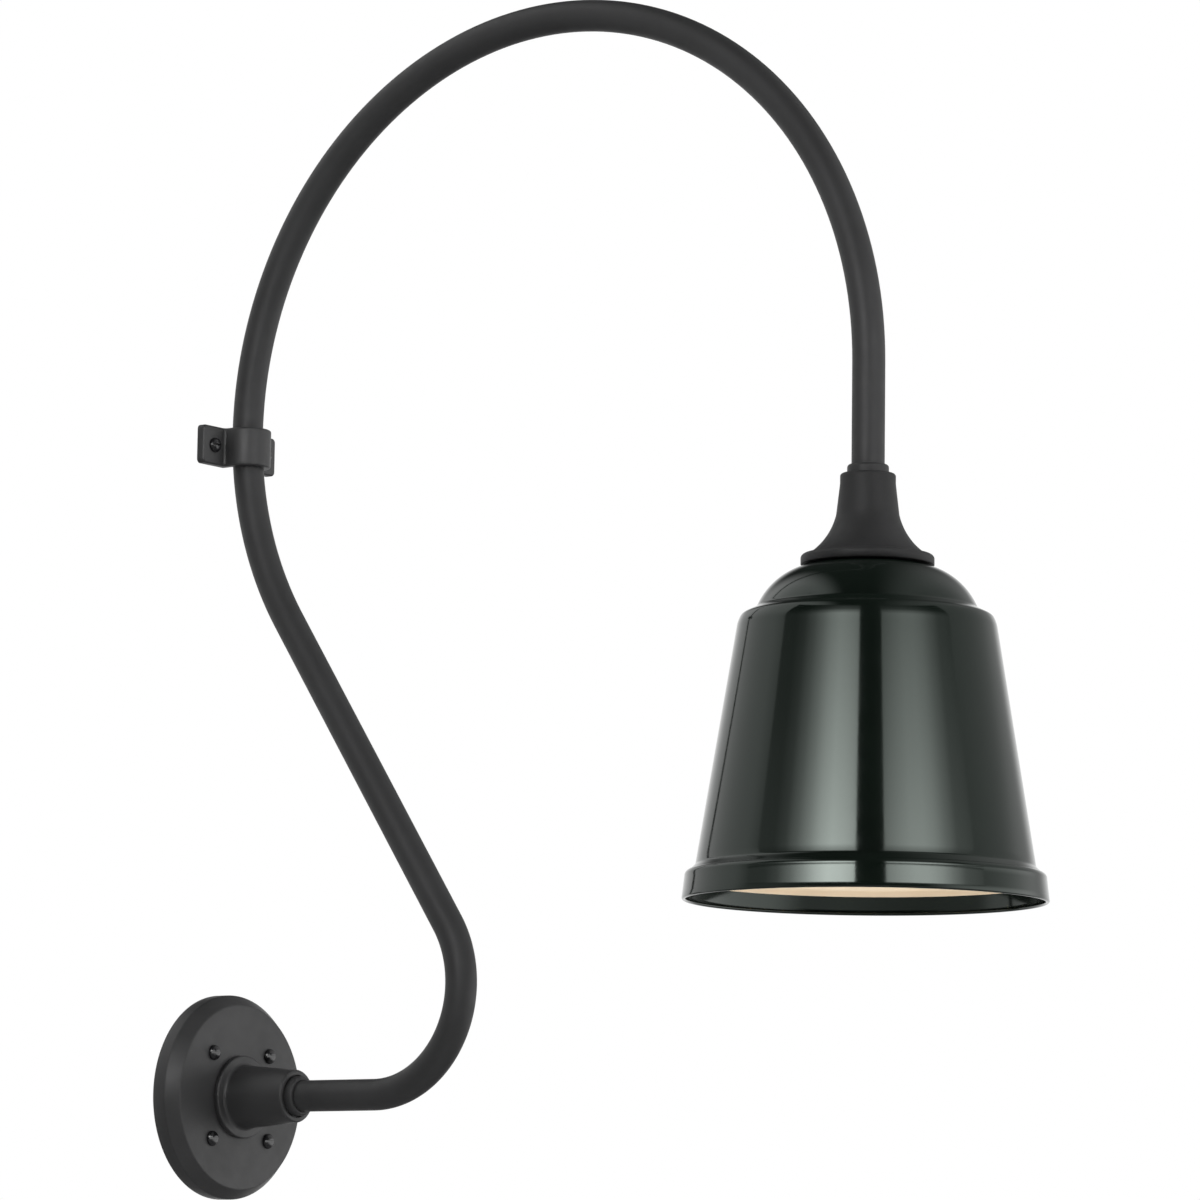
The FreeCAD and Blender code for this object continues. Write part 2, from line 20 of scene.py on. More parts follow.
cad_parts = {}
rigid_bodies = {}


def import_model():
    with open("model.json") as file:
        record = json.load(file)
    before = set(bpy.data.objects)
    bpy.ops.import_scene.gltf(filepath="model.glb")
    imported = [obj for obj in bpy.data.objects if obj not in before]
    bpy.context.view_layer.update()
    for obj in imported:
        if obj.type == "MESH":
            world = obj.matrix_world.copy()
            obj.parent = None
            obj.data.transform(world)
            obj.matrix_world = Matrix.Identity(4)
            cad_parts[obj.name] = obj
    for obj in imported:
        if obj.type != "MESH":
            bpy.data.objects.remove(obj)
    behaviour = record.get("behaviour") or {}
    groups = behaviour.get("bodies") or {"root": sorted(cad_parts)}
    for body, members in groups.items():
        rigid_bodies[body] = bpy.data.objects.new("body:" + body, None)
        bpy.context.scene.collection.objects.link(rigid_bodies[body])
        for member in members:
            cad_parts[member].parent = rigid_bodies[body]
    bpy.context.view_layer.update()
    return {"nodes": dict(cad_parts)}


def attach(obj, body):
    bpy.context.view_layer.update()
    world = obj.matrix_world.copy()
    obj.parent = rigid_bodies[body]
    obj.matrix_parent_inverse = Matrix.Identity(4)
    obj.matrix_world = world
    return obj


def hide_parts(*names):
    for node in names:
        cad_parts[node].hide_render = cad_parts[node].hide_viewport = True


LOG = logging.getLogger("barn_light")

Point = tuple[float, float]
Colour = tuple[float, float, float]
Mesh = bmesh.types.BMesh
Vert = bmesh.types.BMVert
Edge = bmesh.types.BMEdge
Material = bpy.types.Material
Socket = bpy.types.NodeSocket

MM = 0.001
NEAR = 0.01
CENTRE = (0.0, 0.0, 0.0)
UP = (0.0, 0.0, 1.0)
NOISE_MIDDLE = (0.3, 0.7)
EIGHTH = math.radians(45.0)
SCREW_PITCH = 3.6


class Body(Enum):
    """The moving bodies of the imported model."""

    FIXTURE = "fixture"
    BULB = "bulb"


class Slot(Enum):
    """The record's material slots."""

    POWDER_COAT = "powder_coat"
    BLACK_SCREW = "black_screw"
    SHADE_ENAMEL = "shade_enamel"
    GASKET = "gasket"
    EARTH_GREEN = "earth_green"
    ZINC = "zinc"
    CAP_METAL = "cap_metal"
    PORCELAIN = "porcelain"
    BRASS = "brass"
    BULB_GLASS = "bulb_glass"
    BASE_METAL = "base_metal"
    BLACK_GLASS = "black_glass"
    TIN = "tin"


class Facing(Enum):
    """Which way a turned piece's own axis points."""

    UP = "up"
    OUT_OF_WALL = "out of the wall"


# ---- node trees


class Nodes:
    """A node tree that grows by one linked node at a time."""

    def __init__(self, owner: Material | bpy.types.World) -> None:
        """Start with an empty tree.

        Args:
            owner: The material or world that holds it.
        """
        owner.use_nodes = True
        self.tree = owner.node_tree
        self.tree.nodes.clear()

    def put(self, socket: Socket, value: object) -> None:
        """Link an input to another node, or give it a plain value.

        Args:
            socket: The input.
            value: An output to link it to, or its value.
        """
        if isinstance(value, bpy.types.NodeSocket):
            self.tree.links.new(value, socket)
        else:
            socket.default_value = value

    def node(self, kind: str, inputs: dict[str | int, object], output: str | int = 0, **options: str) -> Socket:
        """Add a node.

        Args:
            kind: Its type, without the first word.
            inputs: What its inputs are linked to or set to, by their names or places.
            output: Which of its outputs is wanted.
            options: Its own options.

        Returns:
            That output.
        """
        node = self.tree.nodes.new(f"ShaderNode{kind}")
        for name, choice in options.items():
            setattr(node, name, choice)
        for key, value in inputs.items():
            self.put(node.inputs[key], value)
        return node.outputs[output]

    def compute(self, operation: str, a: object, b: object) -> Socket:
        """One operation on two sockets or numbers."""
        return self.node("Math", {0: a, 1: b}, operation=operation)

    def mix(self, share: Socket, a: Socket, b: Socket) -> Socket:
        """Two shaders mixed by a share of the second."""
        return self.node("MixShader", {0: share, 1: a, 2: b})


@dataclass(frozen=True)
class Grain:
    """A noise over a surface.

    size is about how large one blotch is, in millimetres, detail how many finer layers it has, and stretch the
    scale of each axis before the noise, for a brushed or turned look.
    """

    size: float
    detail: float = 2.0
    stretch: Colour | None = None


class Shader(Nodes):
    """A material round one Principled shader, put together in small steps."""

    def __init__(self, name: str) -> None:
        """Start with the shader alone.

        Args:
            name: The material's name.
        """
        self.material = bpy.data.materials.new(name)
        super().__init__(self.material)
        self.surface = self.tree.nodes.new("ShaderNodeOutputMaterial").inputs["Surface"]
        self.bsdf = self.tree.nodes.new("ShaderNodeBsdfPrincipled")
        self.put(self.surface, self.bsdf.outputs["BSDF"])
        self.coords = self.node("TexCoord", {}, "Object")

    def feed(self, **values: object) -> "Shader":
        """Link or set the shader's own inputs.

        Args:
            values: Their names, with _ for a space, and what feeds them.

        Returns:
            This shader.
        """
        for name, value in values.items():
            self.put(self.bsdf.inputs[name.replace("_", " ")], value)
        return self

    def noise(self, grain: Grain) -> Socket:
        """A noise over the object's own coordinates.

        Args:
            grain: Its sizes.

        Returns:
            The noise's value, from 0 to 1.
        """
        source = self.coords
        if grain.stretch is not None:
            source = self.node("Mapping", {"Vector": source, "Scale": grain.stretch})
        scale = 1.0 / (grain.size * MM)
        return self.node("TexNoise", {"Vector": source, "Scale": scale, "Detail": grain.detail})

    def blend(self, share: Socket, low: float, high: float) -> Socket:
        """Stretch a noise's middle part over a range.

        Args:
            share: The noise.
            low: The result where the noise is low.
            high: The result where it is high.

        Returns:
            The stretched value.
        """
        start, end = NOISE_MIDDLE
        return self.node("MapRange", {"Value": share, "From Min": start, "From Max": end,
                                      "To Min": low, "To Max": high})

    def over(self, share: Socket, below: Socket | tuple, top: Colour) -> Socket:
        """A colour laid over another one.

        Args:
            share: How much of the top colour shows.
            below: The colour under it.
            top: The colour on top.

        Returns:
            The mixed colour.
        """
        inputs = {"Factor": share, "A": below, "B": (*top, 1.0)}
        return self.node("Mix", inputs, "Result", data_type="RGBA")

    def tone(self, share: Socket, dark: Colour, light: Colour) -> Socket:
        """Two colours mixed by a noise."""
        return self.over(self.blend(share, 0.0, 1.0), (*dark, 1.0), light)

    def bumps(self, *layers: tuple[Socket, float]) -> "Shader":
        """Stack bumps on the surface.

        Args:
            layers: Pairs of a height and how deep it is in millimetres.

        Returns:
            This shader.
        """
        last: dict[str, Socket] = {}
        for height, depth in layers:
            inputs = {"Strength": 1.0, "Distance": depth * MM, "Height": height, **last}
            last = {"Normal": self.node("Bump", inputs)}
        return self.feed(**last)

    def whiten(self, share: float) -> "Shader":
        """Show the camera some plain white over the surface, which still takes shadows.

        Args:
            share: How much of what the camera sees is white.

        Returns:
            This shader.
        """
        part = self.compute("MULTIPLY", self.node("LightPath", {}, "Is Camera Ray"), share)
        self.put(self.surface, self.mix(part, self.bsdf.outputs["BSDF"], self.node("Emission", {})))
        return self


# ---- finishes


Bumps = tuple[tuple[Grain, float], ...]
Inputs = tuple[tuple[str, object], ...]
LATHE = (1.0, 1.0, 6.0)
EVEN = (1.0, 1.0, 1.0)
METAL_WAVE = (Grain(3.0, 1.0), 0.006)


@dataclass(frozen=True)
class Finish:
    """A finish in two tones, with a roughness that drifts and bumps of depths in millimetres.

    tones and sheen are the noises of the colour and of the roughness. top is a colour that shows through by
    top_share of the first bump's noise. fixed holds pairs of a shader's input and its value.
    """

    name: str
    dark: Colour
    light: Colour
    roughness: Point
    tones: Grain
    sheen: Grain
    bumps: Bumps
    top: Colour | None = None
    top_share: Point = (0.0, 0.0)
    fixed: Inputs = (("IOR", 1.5),)

    def material(self) -> Material:
        """Build the finish's material.

        Returns:
            The material.
        """
        shade = Shader(self.name)
        heights = [shade.noise(grain) for grain, _ in self.bumps]
        colour = shade.tone(shade.noise(self.tones), self.dark, self.light)
        if self.top:
            colour = shade.over(shade.blend(heights[0], *self.top_share), colour, self.top)
        rough = shade.blend(shade.noise(self.sheen), *self.roughness)
        shade.bumps(*zip(heights, (depth for _, depth in self.bumps)))
        return shade.feed(Base_Color=colour, Roughness=rough, **dict(self.fixed)).material


@dataclass(frozen=True)
class PowderCoat(Finish):
    """Satin black powder coat with a fine sprayed grain."""

    name: str = "powder_coat"
    dark: Colour = (0.0130, 0.0130, 0.0133)
    light: Colour = (0.0175, 0.0175, 0.0179)
    roughness: Point = (0.47, 0.56)
    tones: Grain = Grain(38.0, 3.0)
    sheen: Grain = Grain(9.0, 3.0)
    bumps: Bumps = ((Grain(0.5), 0.010), (Grain(2.6, 1.0), 0.012))
    top: Colour = (0.034, 0.034, 0.035)
    top_share: Point = (0.0, 0.22)
    fixed: Inputs = (("IOR", 1.40),)


@dataclass(frozen=True)
class GlossEnamel(Finish):
    """Thick fired enamel: deep colour, wet gloss and a trace of orange peel."""

    name: str = "shade_enamel_green"
    dark: Colour = (0.0032, 0.0054, 0.0040)
    light: Colour = (0.0044, 0.0072, 0.0054)
    roughness: Point = (0.075, 0.105)
    tones: Grain = Grain(46.0, 4.0)
    sheen: Grain = Grain(14.0, 4.0)
    bumps: Bumps = ((Grain(3.2, 1.0), 0.004), (Grain(0.9, 1.0), 0.0006))
    fixed: Inputs = (("IOR", 1.5), ("Specular_Tint", (0.89, 1.0, 0.93, 1.0)))


@dataclass(frozen=True)
class TurnedMetal(Finish):
    """Plated or bare metal with fine marks and a little tarnish."""

    roughness: Point = (0.22, 0.36)
    tones: Grain = Grain(7.0, 4.0)
    sheen: Grain = Grain(0.5, 3.0, LATHE)
    bumps: Bumps = ((Grain(0.5, 3.0, LATHE), 0.004), METAL_WAVE)
    fixed: Inputs = (("Metallic", 1.0),)


@dataclass(frozen=True)
class BlackOxide(Finish):
    """Black screw steel, slightly oily, with bright burrs rubbed off here and there."""

    name: str = "black_screw"
    dark: Colour = (0.0035, 0.0035, 0.004)
    light: Colour = (0.007, 0.007, 0.008)
    roughness: Point = (0.15, 0.25)
    tones: Grain = Grain(3.0, 3.0)
    sheen: Grain = Grain(0.8, 4.0)
    bumps: Bumps = ((Grain(0.8, 4.0), 0.006), (Grain(0.3, 1.0), 0.003))
    top: Colour = (0.05, 0.05, 0.05)
    top_share: Point = (-0.7, 0.10)
    fixed: Inputs = (("IOR", 1.6),)


@dataclass(frozen=True)
class Rubber(Finish):
    """Closed-cell foam or moulded rubber, dull and finely pitted."""

    name: str = "gasket"
    dark: Colour = (0.012, 0.012, 0.012)
    light: Colour = (0.030, 0.030, 0.031)
    roughness: Point = (0.82, 0.96)
    tones: Grain = Grain(0.6, 3.0)
    sheen: Grain = Grain(5.0)
    bumps: Bumps = ((Grain(0.6, 3.0), 0.05),)
    fixed: Inputs = (("IOR", 1.45),)


@dataclass(frozen=True)
class Glaze(Finish):
    """White porcelain under a clear glaze, faintly waved, with pinholes."""

    name: str = "porcelain"
    dark: Colour = (0.76, 0.73, 0.67)
    light: Colour = (0.84, 0.82, 0.77)
    roughness: Point = (0.10, 0.19)
    tones: Grain = Grain(12.0, 3.0)
    sheen: Grain = Grain(6.0, 3.0)
    bumps: Bumps = ((Grain(4.0, 1.0), 0.03), (Grain(0.7, 1.0), 0.003))
    fixed: Inputs = (("IOR", 1.5), ("Coat_Weight", 0.6), ("Coat_Roughness", 0.05))


@dataclass(frozen=True)
class OpalGlass(Finish):
    """Bulb glass with a soft white coat inside it."""

    name: str = "bulb_glass"
    dark: Colour = (0.80, 0.79, 0.76)
    light: Colour = (0.87, 0.86, 0.84)
    roughness: Point = (0.14, 0.22)
    tones: Grain = Grain(16.0, 3.0)
    sheen: Grain = Grain(8.0)
    bumps: Bumps = ((Grain(18.0, 1.0), 0.05),)
    fixed: Inputs = (
        ("IOR", 1.5), ("Subsurface_Weight", 0.25), ("Subsurface_Scale", 0.004), ("Coat_Weight", 1.0),
        ("Coat_Roughness", 0.03))


class Finishes:
    """Every material of the fixture, made once."""

    def __init__(self) -> None:
        """Build all the materials."""
        pressed, dull = Grain(0.4, 3.0, LATHE), Grain(1.2, 3.0, EVEN)
        finishes = {
            Slot.POWDER_COAT: PowderCoat(),
            Slot.BLACK_SCREW: BlackOxide(),
            Slot.SHADE_ENAMEL: GlossEnamel(),
            Slot.GASKET: Rubber(),
            Slot.EARTH_GREEN: TurnedMetal(
                "earth_green", (0.030, 0.17, 0.055), (0.055, 0.27, 0.09), (0.26, 0.40), fixed=(("Metallic", 0.6),)),
            Slot.ZINC: TurnedMetal("zinc", (0.50, 0.51, 0.52), (0.64, 0.65, 0.66), (0.24, 0.42)),
            Slot.CAP_METAL: TurnedMetal(
                "cap_metal", (0.60, 0.60, 0.60), (0.74, 0.74, 0.73), (0.24, 0.38), sheen=pressed,
                bumps=((pressed, 0.003), METAL_WAVE)),
            Slot.PORCELAIN: Glaze(),
            Slot.BRASS: TurnedMetal("brass", (0.60, 0.43, 0.17), (0.80, 0.62, 0.30), (0.20, 0.34)),
            Slot.BULB_GLASS: OpalGlass(),
            Slot.BASE_METAL: TurnedMetal("base_metal", (0.64, 0.63, 0.60), (0.80, 0.79, 0.76), (0.18, 0.30)),
            Slot.BLACK_GLASS: GlossEnamel(
                "black_glass", (0.010, 0.008, 0.010), (0.022, 0.017, 0.021), (0.10, 0.2),
                bumps=((Grain(3.2, 1.0), 0.01), (Grain(0.9, 1.0), 0.0015)),
                fixed=(("IOR", 1.5), ("Specular_Tint", (1.0, 1.0, 1.0, 1.0)))),
            Slot.TIN: TurnedMetal(
                "tin", (0.46, 0.46, 0.46), (0.62, 0.62, 0.61), (0.34, 0.52), sheen=dull,
                bumps=((dull, 0.02), METAL_WAVE)),
        }
        self.by_slot: dict[Slot, Material] = {slot: finish.material() for slot, finish in finishes.items()}
        self.cream = GlossEnamel(
            "shade_enamel_cream", (0.80, 0.66, 0.48), (0.86, 0.72, 0.54), (0.16, 0.26),
            fixed=(("IOR", 1.5), ("Specular_Tint", (1.0, 0.97, 0.92, 1.0)))).material()
        self.cast_coat = PowderCoat(
            "powder_coat_cast", roughness=(0.42, 0.50), fixed=(("IOR", 1.46),),
            bumps=((Grain(0.5), 0.014), (Grain(2.6, 1.0), 0.012))).material()
        # The neck's coat: rougher than the rest, which is real, and darker in tone, which is painted shade on the
        # neck.
        self.dull_shaded_coat = PowderCoat(
            "powder_coat_dull_shaded", (0.0100, 0.0100, 0.0102), (0.0140, 0.0140, 0.0143), (0.50, 0.58),
            fixed=(("IOR", 1.33),), bumps=((Grain(0.5), 0.016), (Grain(2.6, 1.0), 0.012))).material()

    def __getitem__(self, slot: Slot) -> Material:
        """The material of a slot."""
        return self.by_slot[slot]


# ---- mesh tools


@dataclass(frozen=True)
class Place:
    """Where a turned piece's own origin lies and which way its axis points."""

    facing: Facing = Facing.UP
    x: float = 0.0

    def matrix(self) -> Matrix:
        """The turn and move that put the piece there, in millimetres."""
        turn = Matrix.Rotation(math.radians(90), 4, "Y") if self.facing is Facing.OUT_OF_WALL else Matrix()
        return Matrix.Translation((self.x, 0.0, 0.0)) @ turn


@dataclass(frozen=True)
class Ring:
    """A round edge of a turned piece that is to be eased: its radius, its height and the easing's size."""

    r: float
    h: float
    size: float
    segments: int = 5

    def holds(self, *points: Vector) -> bool:
        """Whether all the points lie on the edge."""
        return all(abs(math.hypot(p.x, p.y) - self.r) < 2 * NEAR and abs(p.z - self.h) < 2 * NEAR for p in points)


def spin(
    bm: Mesh, geom: Iterable[Vert | Edge], angle: float, steps: int, centre: Sequence[float] = CENTRE,
    axis: Sequence[float] = UP, lift: float = 0.0, full: bool = False,
) -> list[Vert | Edge]:
    """Turn points and edges about an axis.

    Args:
        bm: The mesh.
        geom: What is turned.
        angle: How far, in radians.
        steps: How many facets that takes.
        centre: A point of the axis.
        axis: Its direction.
        lift: How far each step rises along Z.
        full: Whether the end meets the start.

    Returns:
        The points and edges at the end of the turn.
    """
    return bmesh.ops.spin(
        bm, geom=list(geom), cent=centre, axis=axis, dvec=(0.0, 0.0, lift), angle=angle, steps=steps,
        use_merge=full, use_normal_flip=False, use_duplicate=False,
    )["geom_last"]


def cut(bm: Mesh, point: Sequence[float], normal: Sequence[float], near: float, **clear: bool) -> None:
    """Cut a mesh by a plane.

    Args:
        bm: The mesh.
        point: A point of the plane.
        normal: The way it faces.
        near: How near a point counts as on it.
        clear: clear_outer or clear_inner, where one side goes.
    """
    geom = bm.verts[:] + bm.edges[:] + bm.faces[:]
    bmesh.ops.bisect_plane(bm, geom=geom, dist=near, plane_co=point, plane_no=normal, **clear)


def clean(bm: Mesh, near: float = 1e-4) -> None:
    """Merge doubles and turn the faces outwards.

    Args:
        bm: The mesh.
        near: How far apart merged points may be, in millimetres.
    """
    bmesh.ops.remove_doubles(bm, verts=bm.verts[:], dist=near)
    bmesh.ops.recalc_face_normals(bm, faces=bm.faces[:])


def fill(bm: Mesh) -> None:
    """Close every hole of a mesh."""
    bmesh.ops.holes_fill(bm, edges=[e for e in bm.edges if e.is_boundary], sides=0)


def ease(bm: Mesh, chosen: Callable[[Edge], bool], size: float, segments: int = 5, clamp: bool = False) -> None:
    """Round the edges that a test picks.

    Args:
        bm: The mesh.
        chosen: The test on an edge.
        size: The radius.
        segments: Facets across the round.
        clamp: Whether it stops where it would meet another one.
    """
    bmesh.ops.bevel(
        bm, geom=[e for e in bm.edges if chosen(e)], offset=size, offset_type="OFFSET", segments=segments,
        profile=0.5, affect="EDGES", material=-1, clamp_overlap=clamp, loop_slide=True,
    )


def merge(target: Mesh, extra: Mesh, move: Matrix = Matrix()) -> None:
    """Add a mesh to another one and free it.

    Args:
        target: The mesh that grows.
        extra: The mesh that is added.
        move: Where the added mesh goes.
    """
    bmesh.ops.transform(extra, matrix=move, verts=extra.verts[:])
    held = bpy.data.meshes.new("held")
    extra.to_mesh(held)
    extra.free()
    target.from_mesh(held)
    bpy.data.meshes.remove(held)


class Outline:
    """Half a section, drawn with operators in the XZ plane and then turned about Z."""

    def __init__(self, r: float, h: float) -> None:
        """Start at one point.

        Args:
            r: Radius of the first point.
            h: Its height.
        """
        self.bm = bmesh.new()
        self.first = self.last = self.bm.verts.new((r, 0.0, h))

    def to(self, r: float, h: float, steps: int = 1) -> "Outline":
        """Draw a straight run to a point.

        Args:
            r: Radius of its end.
            h: Height of its end.
            steps: How many edges it has.

        Returns:
            This outline.
        """
        move = (Vector((r, 0.0, h)) - self.last.co) / steps
        for _ in range(steps):
            self.last = bmesh.ops.extrude_vert_indiv(self.bm, verts=[self.last])["verts"][0]
            bmesh.ops.translate(self.bm, verts=[self.last], vec=move)
        return self

    def bulge(self, r: float, h: float, rise: float, steps: int = 12) -> "Outline":
        """Draw an arc to a point.

        Args:
            r: Radius of its end.
            h: Height of its end.
            rise: How far its middle stands off the chord, to the left of the way drawn.
            steps: How many edges it has.

        Returns:
            This outline.
        """
        start, end = self.last.co.copy(), Vector((r, 0.0, h))
        chord = end - start
        radius = (chord.length_squared / 4 + rise * rise) / (2 * abs(rise))
        side = math.copysign(1.0, rise)
        left = Vector((-chord.z, 0.0, chord.x)).normalized() * side
        centre = (start + end) / 2 - left * (radius - abs(rise))
        angle = 2 * math.asin(min(1.0, chord.length / 2 / radius))
        made = spin(self.bm, [self.last], angle, steps, centre, (0.0, side, 0.0))
        self.last = next(v for v in made if isinstance(v, Vert))
        return self

    def close(self) -> "Outline":
        """Join the end to the start, so that the section turns into a solid."""
        self.bm.edges.new((self.last, self.first))
        return self

    def turn(self, steps: int, *rings: Ring) -> Mesh:
        """Turn the section about Z and ease the named round edges.

        Args:
            steps: How many facets go round.
            rings: The round edges to ease.

        Returns:
            The turned mesh, in the piece's own place.
        """
        spin(self.bm, self.bm.verts[:] + self.bm.edges[:], math.tau, steps, full=True)
        clean(self.bm)
        for ring in rings:
            ease(self.bm, lambda e: ring.holds(e.verts[0].co, e.verts[1].co), ring.size, ring.segments)
        return self.bm


@dataclass(frozen=True)
class Thread:
    """A helical thread about Z.

    crest and root are radii, pitch the rise of one turn, low and high where it is cut off flat.
    A rolled thread has round crests and open ends, a cut one flat crests and closed ends.
    """

    crest: float
    root: float
    pitch: float
    low: float
    high: float
    facets: int = 24
    rolled: bool = False
    flat: float = 0.06
    swell: float = 0.35

    def outline(self) -> Outline:
        """One turn's outline, below the thread's low end.

        Returns:
            The outline, ready to be wound.
        """
        outline = Outline(self.root, self.low - self.pitch)
        middle = self.low - self.pitch / 2
        if not self.rolled:
            outline.to(self.crest, middle - self.pitch * self.flat).to(self.crest, middle + self.pitch * self.flat)
            return outline.to(self.root, self.low)
        mean, rise = (self.crest + self.root) / 2, (self.crest - self.root) / 2 * self.swell
        outline.bulge(mean, middle - self.pitch / 4, -rise, 2).bulge(self.crest, middle, rise, 2)
        return outline.bulge(mean, middle + self.pitch / 4, rise, 2).bulge(self.root, self.low, -rise, 2)

    def mesh(self) -> Mesh:
        """Wind the thread and cut its ends flat.

        Returns:
            The thread's mesh.
        """
        turns = math.ceil((self.high - self.low) / self.pitch) + 2
        bm = self.outline().bm
        spin(bm, bm.verts[:] + bm.edges[:], math.tau * turns, self.facets * turns, lift=self.pitch / self.facets)
        bmesh.ops.remove_doubles(bm, verts=bm.verts[:], dist=0.004)
        cut(bm, (0.0, 0.0, self.low), UP, 1e-4, clear_inner=True)
        cut(bm, (0.0, 0.0, self.high), UP, 1e-4, clear_outer=True)
        if not self.rolled:
            fill(bm)
        bmesh.ops.recalc_face_normals(bm, faces=bm.faces[:])
        return bm


def finish_piece(
    name: str, bm: Mesh, slot: Slot, node: str, finishes: Finishes, place: Place = Place(),
    material: Material | None = None, body: Body = Body.FIXTURE, sharp: float = 34.0,
) -> bpy.types.Object:
    """Turn a mesh in millimetres into a finished piece of the fixture.

    Args:
        name: The piece's name.
        bm: Its mesh, which is used up.
        slot: The record's slot that its finish comes from.
        node: The CAD node it stands for.
        finishes: The materials.
        place: Where its own origin goes.
        material: Its material, where that isn't the slot's own.
        body: The body it rides on.
        sharp: Edges that turn by more than this many degrees stay sharp.

    Returns:
        The new object.
    """
    bmesh.ops.transform(bm, matrix=Matrix.Scale(MM, 4) @ place.matrix(), verts=bm.verts[:])
    mesh = bpy.data.meshes.new(name)
    bm.to_mesh(mesh)
    bm.free()
    mesh.shade_smooth()
    mesh.set_sharp_from_angle(angle=math.radians(sharp))
    mesh.materials.append(material or finishes[slot])
    piece = bpy.data.objects.new(name, mesh)
    bpy.context.scene.collection.objects.link(piece)
    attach(piece, body.value)
    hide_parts(node)
    LOG.info("%s: %d faces on %s, for %s", name, len(mesh.polygons), body.value, node)
    return piece


# ---- sub-assemblies


@dataclass
class DomeScrew:
    """A slotted dome-head screw with a plain shank and a cut thread behind the wall."""

    head_d: float = 10.4
    head_h: float = 3.6
    rim_h: float = 0.9
    seat_ease: float = 0.12
    shank_d: float = 4.4
    thread_d: float = 4.0
    thread_root_d: float = 3.2
    pitch: float = 0.8
    slot_w: float = 1.4
    slot_depth: float = 1.7
    tip_len: float = 1.2
    tip_lap: float = 0.3
    tip_taper: float = 0.7
    shank_lap: float = 0.02

    def head(self) -> Mesh:
        """The dome with its slot cut along Y.

        Returns:
            The head's mesh.
        """
        r = self.head_d / 2
        rise = (math.sin(EIGHTH) - 0.5) * math.hypot(r, self.head_h - self.rim_h)
        outline = Outline(0.0, 0.0).to(r, 0.0).to(r, self.rim_h).bulge(0.0, self.head_h, -rise, 14)
        bm = outline.turn(48, Ring(r, 0.0, self.seat_ease, 2))
        half, floor = self.slot_w / 2, self.head_h - self.slot_depth
        for side in (-half, half):
            cut(bm, (side, 0.0, 0.0), (1.0, 0.0, 0.0), 1e-5)
        cut(bm, (0.0, 0.0, floor), UP, 1e-5)
        middles = {f: f.calc_center_median() for f in bm.faces}
        inside = [f for f, middle in middles.items() if abs(middle.x) < half and middle.z > floor]
        bmesh.ops.delete(bm, geom=inside, context="FACES")
        for side in (-half, half):
            wall = [e for e in bm.edges if e.is_boundary and all(abs(v.co.x - side) < 1e-3 for v in e.verts)]
            ends = sorted({v for e in wall for v in e.verts}, key=lambda v: v.co.y)
            sill = bm.edges.new((ends[0], ends[-1]))
            bmesh.ops.contextual_create(bm, geom=wall + [sill])
        fill(bm)
        clean(bm, 1e-5)
        return bm

    def mesh(self, grip: float, reach: float) -> Mesh:
        """The whole screw, its head above its own origin.

        Args:
            grip: Length of the plain shank.
            reach: Length of the thread behind the wall.

        Returns:
            The screw's mesh.
        """
        bm = self.head()
        shank, r, end = self.shank_d / 2, self.thread_root_d / 2, -grip - reach
        tip = end + self.tip_len
        merge(bm, Outline(0.0, 0.0).to(shank, 0.0).to(shank, -grip).to(0.0, -grip).turn(32))
        merge(bm, Thread(self.thread_d / 2, r, self.pitch, tip, self.shank_lap - grip).mesh())
        point = Outline(0.0, tip + self.tip_lap).to(r, tip + self.tip_lap).to(r, tip)
        merge(bm, point.to(r - self.tip_taper, end).to(0.0, end).turn(24))
        return bm


